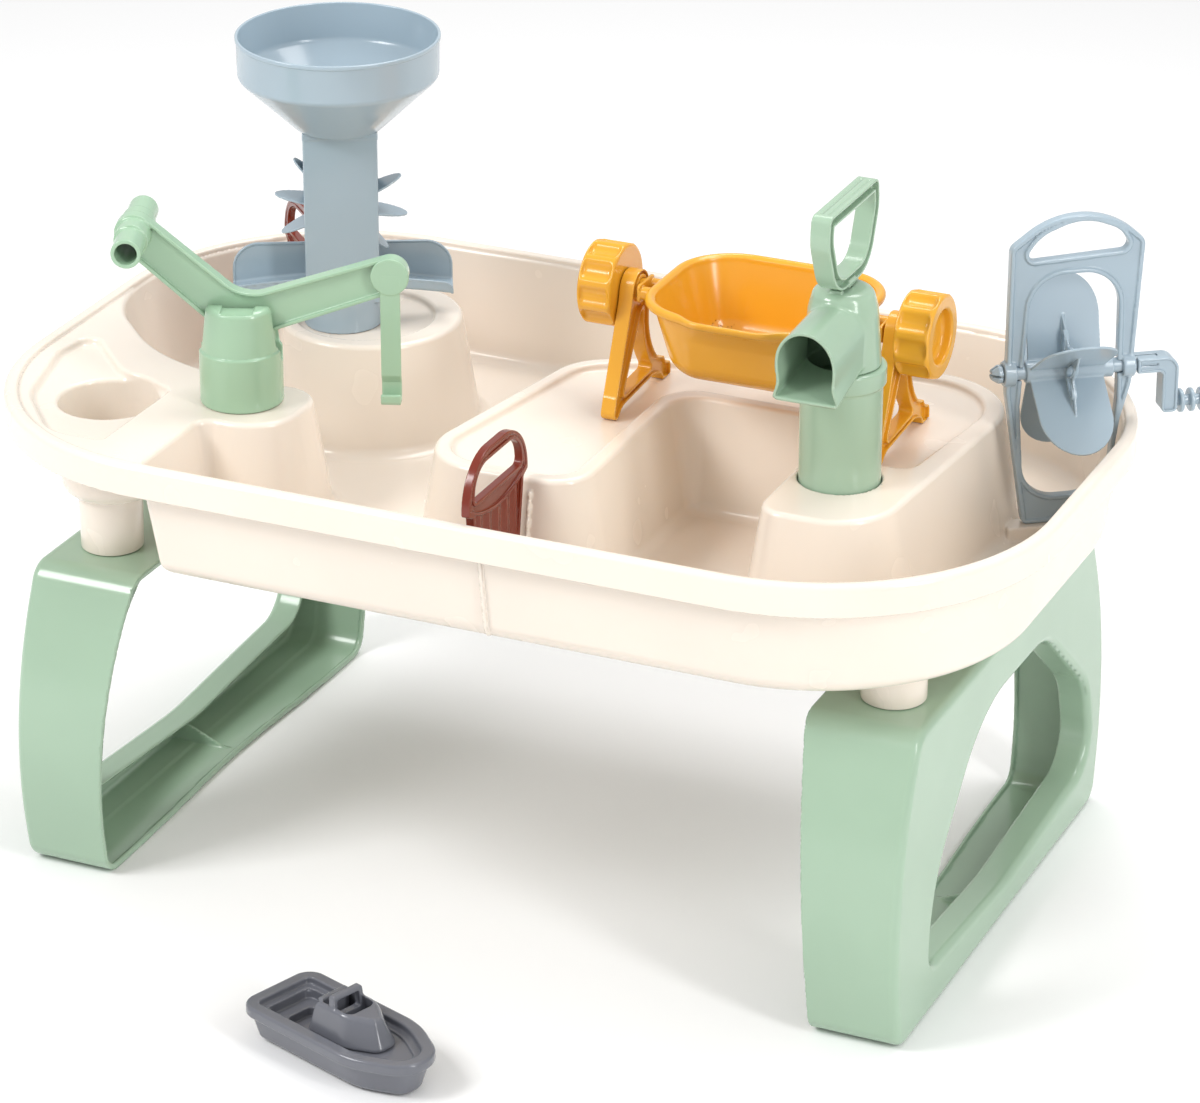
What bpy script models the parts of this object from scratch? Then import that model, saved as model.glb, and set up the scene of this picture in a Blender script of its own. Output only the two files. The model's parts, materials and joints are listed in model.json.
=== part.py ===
"""Sand and water play table: moulded tray on two leg frames, with its loose water toys.

The numbers below are measured from the floor under the middle of the tray: +X along the table,
+Y towards the back, +Z up.  At the end everything is shifted so that the origin is under the
middle of the whole box, which holds the boat and the crank as well.  All lengths are in metres.
"""
import math

import bmesh
import bpy
from mathutils import Matrix, Vector

# ---------------------------------------------------------------- driving dimensions
GAP = 0.0003                      # clearance between pieces that touch
WALL = 0.003                      # moulded sheet of the tray
DRAFT = 0.165                     # how far a moulded wall leans out per metre of depth

BOX_MIDDLE = (0.02264, -0.08379)  # middle of the whole box, seen from the tray's middle

TRAY_HALF_X = 0.3925
TRAY_HALF_Y = 0.243
TRAY_CORNER = 0.175
RIM_Z = 0.348
SKIRT_Z = 0.325
BEAD = 0.010                      # width of the rounded bead along the rim
FLOOR_Z = 0.262
ISLAND_Z = 0.345
RECESS = 0.005
MILL_CENTRE = (-0.1976, 0.0853)
MILL_RADIUS = 0.0668
CUP_CENTRE = (-0.300, -0.127)
CUP_RADIUS = 0.0366
CUP_FLOOR_Z = 0.273
SILL_Z = 0.272

PEG_X = 0.300
PEG_Y = 0.130
PEG_RADIUS = 0.024
STUB_RADIUS = 0.0175
LEG_TOP_Z = 0.228
LEG_PANEL_X = 0.338
LEG_WALL = 0.0026

TOWER_XY = (-0.2156, 0.075)
TOWER_TURN = math.radians(27)
WHEEL_Z = 0.432
WHEEL_RADIUS = 0.049
WHEEL_BLADES = 10
FUNNEL_RIM_Z = 0.5625
FUNNEL_RADIUS = 0.0744

CRANE_XY = (-0.2075, -0.099)
CRANE_TURN = math.radians(21)
ARM_PIVOT_Z = 0.404
HOOK_REACH = 0.1068
HOOK_PIVOT_Z = 0.4425
TUBE_REACH = -0.072
TUBE_Z = 0.470

PUMP_XY = (0.2285, -0.054)
PUMP_BASE_Z = 0.3363
PUMP_RADIUS = 0.0283
PUMP_WALL = 0.0022
PUMP_HEAD_Z = 0.485

AXLE_Y = 0.027
AXLE_Z = 0.425
BUCKET_X = 0.1395
BUCKET_HALF_X = 0.078
BUCKET_HALF_Y = 0.066
BUCKET_RIM_Z = 0.437
BUCKET_FLOOR_Z = 0.377
KNOB_RADIUS = 0.0305
KNOB_THICK = 0.026
AXLE_ROD_Y = 0.009                # the two rods of an axle stub lie this far off its axis
KNOB_X = 0.1185                   # from the bucket's middle to a knob's middle
STAND_X = 0.0992                  # and to a stand's middle

FRAME_FOOT = (0.3115, 0.0765)     # lower left corner of the wheel frame
FRAME_TURN = math.radians(36)
FRAME_MID = 0.034                 # from that corner to the frame's middle line
FRAME_THICK = 0.008
PADDLE_Z = 0.387
PADDLE_RADIUS = 0.069
PADDLE_HALF_WIDTH = 0.0265
PADDLE_SHIFT = -0.0025            # blades sit this far left of the frame's middle
PADDLE_BLADES = 5
PADDLE_PHASE = math.radians(38)

GATE_FRONT_X = 0.032
GATE_BACK_TURN = math.radians(135)
GATE_THICK = 0.006

BOAT_XY = (0.006, -0.368)
BOAT_TURN = math.radians(-20)

# outlines are (x, y, corner radius), anticlockwise
CAVITY = [
    (-0.218, -0.233, 0.012), (0.3825, -0.233, 0.165), (0.3825, 0.233, 0.165),
    (-0.3825, 0.233, 0.165), (-0.3825, 0.0275, 0.095), (-0.291, -0.064, 0.145),
    (-0.160, -0.064, 0.026), (-0.160, -0.141, 0.036), (-0.218, -0.141, 0.012),
]
ISLAND = [
    (-0.060, -0.1425, 0.045), (0.0715, -0.1425, 0.030), (0.0715, 0.037, 0.022),
    (0.195, 0.037, 0.022), (0.195, -0.127, 0.020), (0.279, -0.127, 0.046),
    (0.299, 0.150, 0.066), (0.140, 0.150, 0.120), (-0.024, 0.066, 0.045),
]
ISLAND_RECESS = [
    (-0.048, -0.131, 0.034), (0.060, -0.131, 0.019), (0.060, 0.049, 0.030),
    (0.228, 0.049, 0.016), (0.228, -0.0225, 0.006), (0.268, -0.0225, 0.012),
    (0.287, 0.139, 0.055), (0.142, 0.139, 0.110), (-0.015, 0.059, 0.035),
]
PLATEAU_RECESS = [
    (-0.262, -0.204, 0.006), (-0.262, -0.103, 0.010), (-0.312, -0.087, 0.060),
    (-0.366, -0.030, 0.010), (-0.372, -0.075, 0.030), (-0.352, -0.150, 0.060),
    (-0.306, -0.204, 0.040),
]
LEG_OUTLINE = [
    (-0.204, 0.000, 0.018), (0.204, 0.000, 0.018), (0.2262, 0.118, 0.300),
    (0.179, 0.2275, 0.020), (-0.179, 0.2275, 0.020), (-0.2262, 0.118, 0.300),
]
LEG_HOLE = [
    (-0.146, 0.026, 0.010), (0.172, 0.026, 0.024), (0.190, 0.082, 0.050),
    (0.094, 0.178, 0.040), (-0.062, 0.178, 0.090), (-0.140, 0.084, 0.070),
]


# ---------------------------------------------------------------- materials
def material(name, colour, roughness=0.3):
    """A moulded plastic."""
    made = bpy.data.materials.new(name)
    made.use_nodes = True
    shader = made.node_tree.nodes["Principled BSDF"]
    shader.inputs["Base Color"].default_value = (*colour, 1.0)
    shader.inputs["Roughness"].default_value = roughness
    shader.inputs["Metallic"].default_value = 0.0
    return made


def make_palette():
    """One plastic for each colour of moulding."""
    return {
        "cream": material("cream_plastic", (0.84, 0.77, 0.68), 0.28),
        "sage": material("sage_plastic", (0.36, 0.56, 0.42), 0.25),
        "mint": material("mint_plastic", (0.45, 0.67, 0.46), 0.30),
        "blue": material("blue_grey_plastic", (0.33, 0.45, 0.53), 0.27),
        "ochre": material("ochre_plastic", (0.84, 0.41, 0.06), 0.27),
        "terracotta": material("terracotta_plastic", (0.26, 0.045, 0.02), 0.25),
        "grey": material("boat_grey_plastic", (0.27, 0.28, 0.33), 0.27),
        "rubber": material("seal_rubber", (0.03, 0.03, 0.035), 0.6),
    }


# ---------------------------------------------------------------- outlines
def offset_line(a, b, inset):
    """The line through a and b, moved to its left by inset: a point and a direction."""
    along = (b - a).normalized()
    left = Vector((-along.y, along.x))
    return a + left * inset, along


def outline(corners, inset=0.0, steps=5):
    """Points of a filleted outline, shrunk by inset (grown when inset is negative)."""
    points = [Vector(corner[:2]) for corner in corners]
    count = len(points)
    result = []
    for index, corner in enumerate(corners):
        before, here, after = points[index - 1], points[index], points[(index + 1) % count]
        p, d = offset_line(before, here, inset)
        q, e = offset_line(here, after, inset)
        turn = d.x * e.y - d.y * e.x
        vertex = p + d * (((q - p).x * e.y - (q - p).y * e.x) / turn)
        convex = turn > 0
        radius = max(corner[2] - inset if convex else corner[2] + inset, 0.0006)
        half = math.atan2(turn, d.dot(e)) / 2
        reach = radius * abs(math.tan(half))
        start = vertex - d * reach
        side = Vector((-d.y, d.x)) * (radius if convex else -radius)
        centre = start + side
        for step in range(steps + 1):
            spin = Matrix.Rotation(2 * half * step / steps, 2)
            result.append(centre + spin @ (-side))
    return [(point.x, point.y) for point in result]


def circle(radius, centre=(0.0, 0.0), count=32, phase=0.0):
    """Points of a circle, anticlockwise."""
    angles = [phase + 2 * math.pi * k / count for k in range(count)]
    return [(centre[0] + radius * math.cos(a), centre[1] + radius * math.sin(a)) for a in angles]


def rectangle(half_x, half_y, centre=(0.0, 0.0)):
    """Corner points of a rectangle, anticlockwise."""
    x, y = centre
    return [(x - half_x, y - half_y), (x + half_x, y - half_y),
            (x + half_x, y + half_y), (x - half_x, y + half_y)]


def rounded(half_x, half_y, radius, centre=(0.0, 0.0)):
    """Corners of a rectangle with one radius, for outline()."""
    return [(x, y, radius) for x, y in rectangle(half_x, half_y, centre)]


# ---------------------------------------------------------------- solids
def new_object(name, bm):
    """Turn a bmesh into an object with its faces pointing out."""
    bmesh.ops.recalc_face_normals(bm, faces=bm.faces)
    mesh = bpy.data.meshes.new(name)
    bm.to_mesh(mesh)
    bm.free()
    made = bpy.data.objects.new(name, mesh)
    bpy.context.scene.collection.objects.link(made)
    return made


def loft(levels, name="solid", to_world=None):
    """A closed solid through rings of equal count; levels are (height, points)."""
    bm = bmesh.new()
    rings = [[bm.verts.new((x, y, z)) for x, y in points] for z, points in levels]
    bm.faces.new(list(reversed(rings[0])))
    bm.faces.new(rings[-1])
    for low, high in zip(rings, rings[1:]):
        for k in range(len(low)):
            after = (k + 1) % len(low)
            bm.faces.new((low[k], low[after], high[after], high[k]))
    if to_world is not None:
        bmesh.ops.transform(bm, matrix=to_world, verts=bm.verts)
    return new_object(name, bm)


def prism(points, low, high, to_world=None):
    """A straight extrusion of one outline."""
    return loft([(low, points), (high, points)], to_world=to_world)


def turned(profile, count=40, to_world=None):
    """A solid of revolution about Z from a closed (radius, height) profile."""
    bm = bmesh.new()
    rings = []
    for radius, height in profile:
        if radius < 1e-6:
            rings.append([bm.verts.new((0.0, 0.0, height))])
        else:
            rings.append([bm.verts.new((x, y, height)) for x, y in circle(radius, count=count)])
    closed = min(radius for radius, _ in profile) > 1e-6
    pairs = list(zip(rings, rings[1:]))
    if closed:
        pairs.append((rings[-1], rings[0]))
    for a, b in pairs:
        for k in range(count):
            after = (k + 1) % count
            if len(a) == 1:
                bm.faces.new((a[0], b[after], b[k]))
            elif len(b) == 1:
                bm.faces.new((a[k], a[after], b[0]))
            else:
                bm.faces.new((a[k], a[after], b[after], b[k]))
    if to_world is not None:
        bmesh.ops.transform(bm, matrix=to_world, verts=bm.verts)
    return new_object("turned", bm)


def disc(radius, low, high, count=32, to_world=None):
    """A plain round bar about Z."""
    return prism(circle(radius, count=count), low, high, to_world)


def combine(target, tool, operation):
    """Apply one exact Boolean and drop the tool."""
    modifier = target.modifiers.new("combine", "BOOLEAN")
    modifier.operation = operation
    modifier.solver = "EXACT"
    modifier.object = tool
    bpy.context.view_layer.update()
    graph = bpy.context.evaluated_depsgraph_get()
    result = bpy.data.meshes.new_from_object(target.evaluated_get(graph))
    target.modifiers.remove(modifier)
    target.data = result
    bpy.data.objects.remove(tool)
    return target


def join(target, *tools):
    """Union of solids."""
    for tool in tools:
        combine(target, tool, "UNION")
    return target


def cut(target, *tools):
    """Subtract solids."""
    for tool in tools:
        combine(target, tool, "DIFFERENCE")
    return target


def finish(made, name, plastic, parent=None):
    """Name a piece, weld the seams of its cuts, shade it and give it its plastic."""
    bm = bmesh.new()
    bm.from_mesh(made.data)
    bmesh.ops.remove_doubles(bm, verts=bm.verts, dist=0.00004)
    bmesh.ops.dissolve_degenerate(bm, edges=bm.edges, dist=0.00002)
    bmesh.ops.dissolve_limit(bm, angle_limit=math.radians(0.3), verts=bm.verts, edges=bm.edges)
    bmesh.ops.triangulate(bm, faces=bm.faces)
    bm.to_mesh(made.data)
    bm.free()
    made.name = name
    made.data.name = name
    made.data.materials.clear()
    made.data.materials.append(plastic)
    made.data.shade_smooth()
    made.data.set_sharp_from_angle(angle=math.radians(35))
    if parent is not None:
        made.parent = parent
    return made


def empty(name, place, turn=0.0):
    """A guide on a joint's axis or a toy's own frame."""
    made = bpy.data.objects.new(name, None)
    made.location = place
    made.rotation_euler = (0.0, 0.0, turn)
    bpy.context.scene.collection.objects.link(made)
    return made


ALONG_X = Matrix(((0, 0, 1, 0), (1, 0, 0, 0), (0, 1, 0, 0), (0, 0, 0, 1)))
ALONG_Y = Matrix(((1, 0, 0, 0), (0, 0, -1, 0), (0, 1, 0, 0), (0, 0, 0, 1)))


def across(z=0.0, x=0.0):
    """Frame of an outline drawn in X and Z and extruded towards the viewer's side, -Y."""
    return Matrix.Translation((x, 0.0, z)) @ ALONG_Y


# ---------------------------------------------------------------- tray
def basin_hollow():
    """The water space: canals and bay, with the islands left standing."""
    hollow = loft([
        (FLOOR_Z, outline(CAVITY, DRAFT * (RIM_Z - FLOOR_Z) + 0.006)),
        (FLOOR_Z + 0.006, outline(CAVITY, DRAFT * (RIM_Z - FLOOR_Z - 0.006))),
        (RIM_Z + 0.010, outline(CAVITY, -DRAFT * 0.010)),
    ])
    heights = (FLOOR_Z - 0.01, RIM_Z + 0.02)
    island = loft([(z, outline(ISLAND, DRAFT * (z - ISLAND_Z))) for z in heights])
    mill = loft([
        (z, circle(MILL_RADIUS - DRAFT * (z - ISLAND_Z), MILL_CENTRE, 48)) for z in heights
    ])
    return cut(hollow, island, mill)


def basin_shell():
    """The outside of the tray: rim slab with its skirt, the basin's belly and the cup's boss."""
    corners = rounded(TRAY_HALF_X, TRAY_HALF_Y, TRAY_CORNER)
    shell = loft([
        (SKIRT_Z, outline(corners, 0.0005, 10)),
        (RIM_Z - 0.003, outline(corners, 0.0, 10)),
        (RIM_Z, outline(corners, 0.003, 10)),
    ])
    belly = loft([
        (FLOOR_Z - WALL, outline(CAVITY, DRAFT * (RIM_Z - FLOOR_Z) + 0.010 - WALL)),
        (FLOOR_Z + 0.010, outline(CAVITY, DRAFT * (RIM_Z - FLOOR_Z - 0.010) - WALL)),
        (RIM_Z - 0.006, outline(CAVITY, -WALL)),
    ])
    boss = loft([
        (CUP_FLOOR_Z - WALL, circle(CUP_RADIUS - 0.006 + WALL, CUP_CENTRE, 40)),
        (CUP_FLOOR_Z + 0.006, circle(CUP_RADIUS - 0.002 + WALL, CUP_CENTRE, 40)),
        (ISLAND_Z - 0.002, circle(CUP_RADIUS + WALL, CUP_CENTRE, 40)),
    ])
    under = loft([
        (SKIRT_Z - 0.01, outline(corners, WALL + 0.0005, 10)),
        (ISLAND_Z - RECESS - WALL, outline(corners, WALL + 0.0005, 10)),
    ])
    cut(shell, under)
    return join(shell, belly, boss)


def island_undersides():
    """The room under each island, so that the tray is a sheet of even thickness."""
    below = FLOOR_Z - WALL - 0.01
    roof = ISLAND_Z - RECESS - WALL
    main = loft([(z, outline(ISLAND, WALL - DRAFT * (ISLAND_Z - z))) for z in (below, roof)])
    mill = loft([
        (z, circle(MILL_RADIUS - WALL + DRAFT * (ISLAND_Z - z), MILL_CENTRE, 48)) for z in (below, roof)
    ])
    return main, mill


def pegs():
    """Four round posts that plug into the leg frames."""
    made = []
    for x in (-PEG_X, PEG_X):
        for y in (-PEG_Y, PEG_Y):
            top = CUP_FLOOR_Z if x < 0 and y < 0 else FLOOR_Z
            place = Matrix.Translation((x, y, 0))
            made.append(turned([
                (0, LEG_TOP_Z - 0.020), (STUB_RADIUS - 0.002, LEG_TOP_Z - 0.020),
                (STUB_RADIUS, LEG_TOP_Z - 0.016), (STUB_RADIUS, LEG_TOP_Z + GAP),
                (PEG_RADIUS, LEG_TOP_Z + GAP), (PEG_RADIUS, top - 0.001), (0, top - 0.001),
            ], 28, place))
    return made


def make_tray(palette):
    """One moulding: rim, canals, islands, cup pocket, toy seats, sill and leg posts."""
    tray = basin_shell()
    cut(tray, *island_undersides())
    join(tray, *pegs())
    top = prism(outline(rounded(TRAY_HALF_X, TRAY_HALF_Y, TRAY_CORNER), BEAD, 10), ISLAND_Z, RIM_Z + 0.01)
    cut(tray, basin_hollow(), top)
    recesses = [
        prism(outline(ISLAND_RECESS), ISLAND_Z - RECESS, ISLAND_Z + 0.01),
        prism(circle(0.052, (-0.2015, 0.083), 40), ISLAND_Z - RECESS, ISLAND_Z + 0.01),
        prism(outline(PLATEAU_RECESS), ISLAND_Z - RECESS, ISLAND_Z + 0.01),
        loft([(CUP_FLOOR_Z, circle(CUP_RADIUS - 0.005, CUP_CENTRE, 40)),
              (ISLAND_Z + 0.01, circle(CUP_RADIUS, CUP_CENTRE, 40))]),
        disc(PUMP_RADIUS + 0.0008, PUMP_BASE_Z - GAP, ISLAND_Z + 0.01, 40,
             Matrix.Translation((*PUMP_XY, 0))),
    ]
    cut(tray, *recesses)
    sill_turn = Matrix.Translation((*FRAME_FOOT, 0)) @ Matrix.Rotation(FRAME_TURN, 4, "Z")
    sill = prism(rectangle(0.042, 0.009, (FRAME_MID, 0)), FLOOR_Z - 0.001, SILL_Z, sill_turn)
    spigots = [
        disc(0.0110, ISLAND_Z - WALL, ISLAND_Z + 0.012, 24, Matrix.Translation((*CRANE_XY, 0))),
        disc(0.0110, ISLAND_Z - RECESS - 0.002, ISLAND_Z + 0.008, 24,
             Matrix.Translation((*TOWER_XY, 0))),
    ]
    join(tray, sill, *spigots)
    return finish(tray, "tray", palette["cream"])


# ---------------------------------------------------------------- legs
def leg_depth(y, z):
    """How far the channel reaches in from its outer panel: pinched at mid height and mid width."""
    rise = min(max(z / LEG_TOP_Z, 0.0), 1.0)
    side = 0.066 + 0.017 * rise ** 2
    middle = math.exp(-(y / 0.10) ** 2)
    return side - 0.006 * middle * (1 - rise)


def leg_channel():
    """A ring frame of channel section in local (y, z, depth), open towards the table's middle."""
    bm = bmesh.new()
    outer = outline(LEG_OUTLINE, 0, 6)
    inner = outline(LEG_OUTLINE, LEG_WALL, 6)
    rings = [
        [(y, z, 0.0) for y, z in outer],
        [(y, z, leg_depth(y, z)) for y, z in outer],
        [(y, z, leg_depth(y, z)) for y, z in inner],
        [(y, z, LEG_WALL) for y, z in inner],
    ]
    made = [[bm.verts.new(point) for point in ring] for ring in rings]
    for low, high in zip(made, made[1:]):
        for k in range(len(low)):
            after = (k + 1) % len(low)
            bm.faces.new((low[k], low[after], high[after], high[k]))
    bm.faces.new(made[0])
    bm.faces.new(made[-1])
    return new_object("channel", bm)


def make_leg(name, side, palette):
    """A leg frame; side is -1 on the left and +1 on the right."""
    leg = leg_channel()
    flange = prism(outline(LEG_HOLE, -LEG_WALL, 6), 0.0004, 0.024)
    gusset = prism([(-0.0015, 0.0010), (0.0015, 0.0010), (0.0015, 0.0250), (-0.0015, 0.0250)],
                   0.001, 0.050)
    slope = prism([(0.0, 0.030), (0.022, 0.055), (0.022, 0.000)], -0.01, 0.01,
                  Matrix(((0, 0, 1, 0), (1, 0, 0, 0.006), (0, 1, 0, 0), (0, 0, 0, 1))))
    cut(gusset, slope)
    sockets = []
    bores = []
    for y in (-PEG_Y, PEG_Y):
        # local axes are (y, z, depth), so a socket runs along local Y
        depth = LEG_PANEL_X - PEG_X
        place = Matrix.Translation((y, 0, depth)) @ Matrix.Rotation(-math.pi / 2, 4, "X")
        sockets.append(disc(STUB_RADIUS + 0.0028, LEG_TOP_Z - 0.026, LEG_TOP_Z - 0.002, 28, place))
        bores.append(disc(STUB_RADIUS + 0.0004, LEG_TOP_Z - 0.030, LEG_TOP_Z + 0.010, 28, place))
    join(leg, flange, gusset, *sockets)
    cut(leg, prism(outline(LEG_HOLE, 0, 6), -0.01, 0.10), *bores)
    if side > 0:
        to_world = Matrix(((0, 0, -1, LEG_PANEL_X), (1, 0, 0, 0), (0, 1, 0, 0), (0, 0, 0, 1)))
    else:
        to_world = Matrix(((0, 0, 1, -LEG_PANEL_X), (1, 0, 0, 0), (0, 1, 0, 0), (0, 0, 0, 1)))
    leg.data.transform(to_world)
    if side > 0:
        leg.data.flip_normals()
    return finish(leg, name, palette["sage"])


# ---------------------------------------------------------------- mill tower
def make_tower(palette):
    """Column of two cheeks on a round foot, with a trough, a wheel and a funnel."""
    frame = empty("tower_axis", (*TOWER_XY, 0.0), TOWER_TURN)
    foot_z = ISLAND_Z - RECESS + GAP
    column = disc(0.0290, foot_z, 0.3640, 40)
    cheek_y, cheek_half = 0.0165, 0.0270
    for side in (-1, 1):
        join(column, prism(rectangle(cheek_half, 0.0013, (0, side * cheek_y)), 0.360, 0.4900))
    join(column, prism(rectangle(cheek_half + 0.0004, cheek_y + 0.0017), 0.4860, 0.4925))
    cut(column, disc(0.0117, 0.30, ISLAND_Z + 0.0095, 24),
        disc(0.0118, 0.480, 0.50, 24),
        disc(0.0040, -0.05, 0.05, 16, across(WHEEL_Z)))
    finish(column, "tower_column", palette["blue"], frame)

    finish(trough(), "mill_trough", palette["blue"], frame)

    wheel_axis = empty("mill_wheel_axis", (0, 0, WHEEL_Z))
    wheel_axis.parent = frame
    wheel = disc(0.0075, -0.0125, 0.0125, 24, ALONG_Y)
    join(wheel, disc(0.0036, -0.0190, 0.0190, 16, ALONG_Y))
    for k in range(WHEEL_BLADES):
        turn = Matrix.Rotation(2 * math.pi * k / WHEEL_BLADES, 4, "Y")
        join(wheel, prism(blade_outline(0.0060, 0.030, WHEEL_RADIUS, 0.0120), -0.0008, 0.0008, turn))
    finish(wheel, "mill_wheel", palette["blue"], wheel_axis)

    funnel = turned([
        (0.0740, FUNNEL_RIM_Z - 0.003), (FUNNEL_RADIUS, FUNNEL_RIM_Z - 0.001),
        (0.0735, FUNNEL_RIM_Z), (0.0722, FUNNEL_RIM_Z - 0.001), (0.0712, 0.5345),
        (0.0300, 0.4955), (0.0095, 0.4945), (0.0090, 0.4830), (0.0113, 0.4830),
        (0.0114, 0.4925 + GAP), (0.0320, 0.4925 + GAP), (0.0732, 0.5325),
    ], 40)
    finish(funnel, "funnel", palette["blue"], frame)


def blade_outline(root, straight, tip, half_width, steps=6):
    """A tongue in local X (outwards) and Y (width), with a half-elliptic tip."""
    points = [(root, -half_width)]
    for k in range(steps + 1):
        a = -math.pi / 2 + math.pi * k / steps
        points.append((straight + (tip - straight) * math.cos(a), half_width * math.sin(a)))
    points.append((root, half_width))
    return points


def trough():
    """An open gutter through the column that falls to both ends."""
    bm = bmesh.new()
    stations = [(-0.0810, -0.014, 0.0140), (-0.0680, -0.007, 0.0), (0.0, 0.0, 0.0),
                (0.0680, -0.007, 0.0), (0.0810, -0.014, 0.0140)]
    rings = []
    for x, drop, droop in stations:
        section = [
            (0.0148, 0.3680 + drop), (0.0148, 0.4020 - droop), (0.0134, 0.4020 - droop),
            (0.0134, 0.3700 + drop), (-0.0134, 0.3700 + drop), (-0.0134, 0.3790 - droop / 2),
            (-0.0148, 0.3790 - droop / 2), (-0.0148, 0.3680 + drop),
        ]
        rings.append([bm.verts.new((x, y, z + GAP)) for y, z in section])
    for a, b in zip(rings, rings[1:]):
        for k in range(len(a)):
            after = (k + 1) % len(a)
            bm.faces.new((a[k], a[after], b[after], b[k]))
    bm.faces.new(rings[0])
    bm.faces.new(rings[-1])
    return new_object("trough", bm)


# ---------------------------------------------------------------- crane
def bar_outline(start, end, half_a, half_b, steps=8):
    """A bar between two round ends, in the plane of its own outline."""
    start, end = Vector(start), Vector(end)
    along = (end - start).normalized()
    base = math.atan2(along.y, along.x)
    points = []
    for k in range(steps + 1):
        a = base - math.pi / 2 + math.pi * k / steps
        points.append((end.x + half_b * math.cos(a), end.y + half_b * math.sin(a)))
    for k in range(steps + 1):
        a = base + math.pi / 2 + math.pi * k / steps
        points.append((start.x + half_a * math.cos(a), start.y + half_a * math.sin(a)))
    return points


def make_crane(palette):
    """Turning post, rocking arm and swinging hook."""
    frame = empty("crane_axis", (*CRANE_XY, 0.0), CRANE_TURN)
    base_z = ISLAND_Z + GAP
    post = turned([
        (0, base_z), (0.0300, base_z), (0.0297, 0.3850), (0.0278, 0.3858),
        (0.0245, 0.4160), (0.0230, 0.4185), (0, 0.4185),
    ], 40)
    cut(post, prism(rectangle(0.04, 0.0056), 0.3765, 0.43),
        disc(0.0117, 0.33, ISLAND_Z + 0.0135, 24),
        disc(0.0046, -0.0160, 0.0160, 16, across(ARM_PIVOT_Z)))
    finish(post, "crane_post", palette["mint"], frame)

    arm_axis = empty("crane_arm_axis", (0, 0, ARM_PIVOT_Z))
    arm_axis.parent = frame
    down = -ARM_PIVOT_Z
    hub = (0.0, ARM_PIVOT_Z + 0.0025 + down)
    hook_end = (HOOK_REACH, HOOK_PIVOT_Z + down)
    tube_end = (TUBE_REACH, TUBE_Z + down)
    half = 0.0050
    arm = prism(bar_outline(hub, hook_end, 0.0150, 0.0130), -half, half, across())
    join(arm, prism(bar_outline(hub, tube_end, 0.0152, 0.0140), -half, half, across()),
         disc(0.0108, -0.0450, 0.0450, 28, across(tube_end[1], tube_end[0])),
         disc(0.0042, -0.0150, 0.0150, 16, across()))
    pockets = [
        prism(bar_outline((0.034, 0.0145), (0.088, 0.0325), 0.0095, 0.0085), low, high, across())
        for low, high in ((0.0020, 0.01), (-0.01, -0.0020))
    ]
    pockets += [
        prism(bar_outline((-0.056, 0.0515), (-0.028, 0.0255), 0.0095, 0.0095), low, high, across())
        for low, high in ((0.0020, 0.01), (-0.01, -0.0020))
    ]
    cut(arm, *pockets,
        disc(0.0084, -0.0460, 0.0460, 28, across(tube_end[1], tube_end[0])),
        disc(0.0046, -0.02, 0.02, 16, across(hook_end[1], hook_end[0])))
    finish(arm, "crane_arm", palette["mint"], arm_axis)

    hook_axis = empty("crane_hook_axis", (hook_end[0], 0, hook_end[1]))
    hook_axis.parent = arm_axis
    near = half + GAP
    strap = [(-0.0070, 0.0), (0.0070, 0.0), (0.0070, -0.0800), (-0.0070, -0.0800)]
    hook = disc(0.0135, near, near + 0.0030, 32, across())
    join(hook, prism(list(reversed(strap)), near, near + 0.0026, across()),
         disc(0.0041, -half - 0.0030, near + 0.001, 16, across()),
         prism(rectangle(0.0070, 0.0070, (0, -0.0860)), near - 0.0035, near + 0.0012, across()),
         prism(rectangle(0.0070, 0.0016, (0, -0.0935)), near - 0.0035, near + 0.0090, across()),
         prism(rectangle(0.0070, 0.0040, (0, -0.0905)), near + 0.0064, near + 0.0090, across()))
    finish(hook, "crane_hook", palette["mint"], hook_axis)


# ---------------------------------------------------------------- pump
PUMP_GRIP = [
    (-0.0410, 0.5560, 0.008), (-0.0410, 0.5150, 0.050), (-0.0200, 0.4885, 0.012),
    (0.0200, 0.4885, 0.012), (0.0410, 0.5150, 0.050), (0.0410, 0.5560, 0.008),
]


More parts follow.
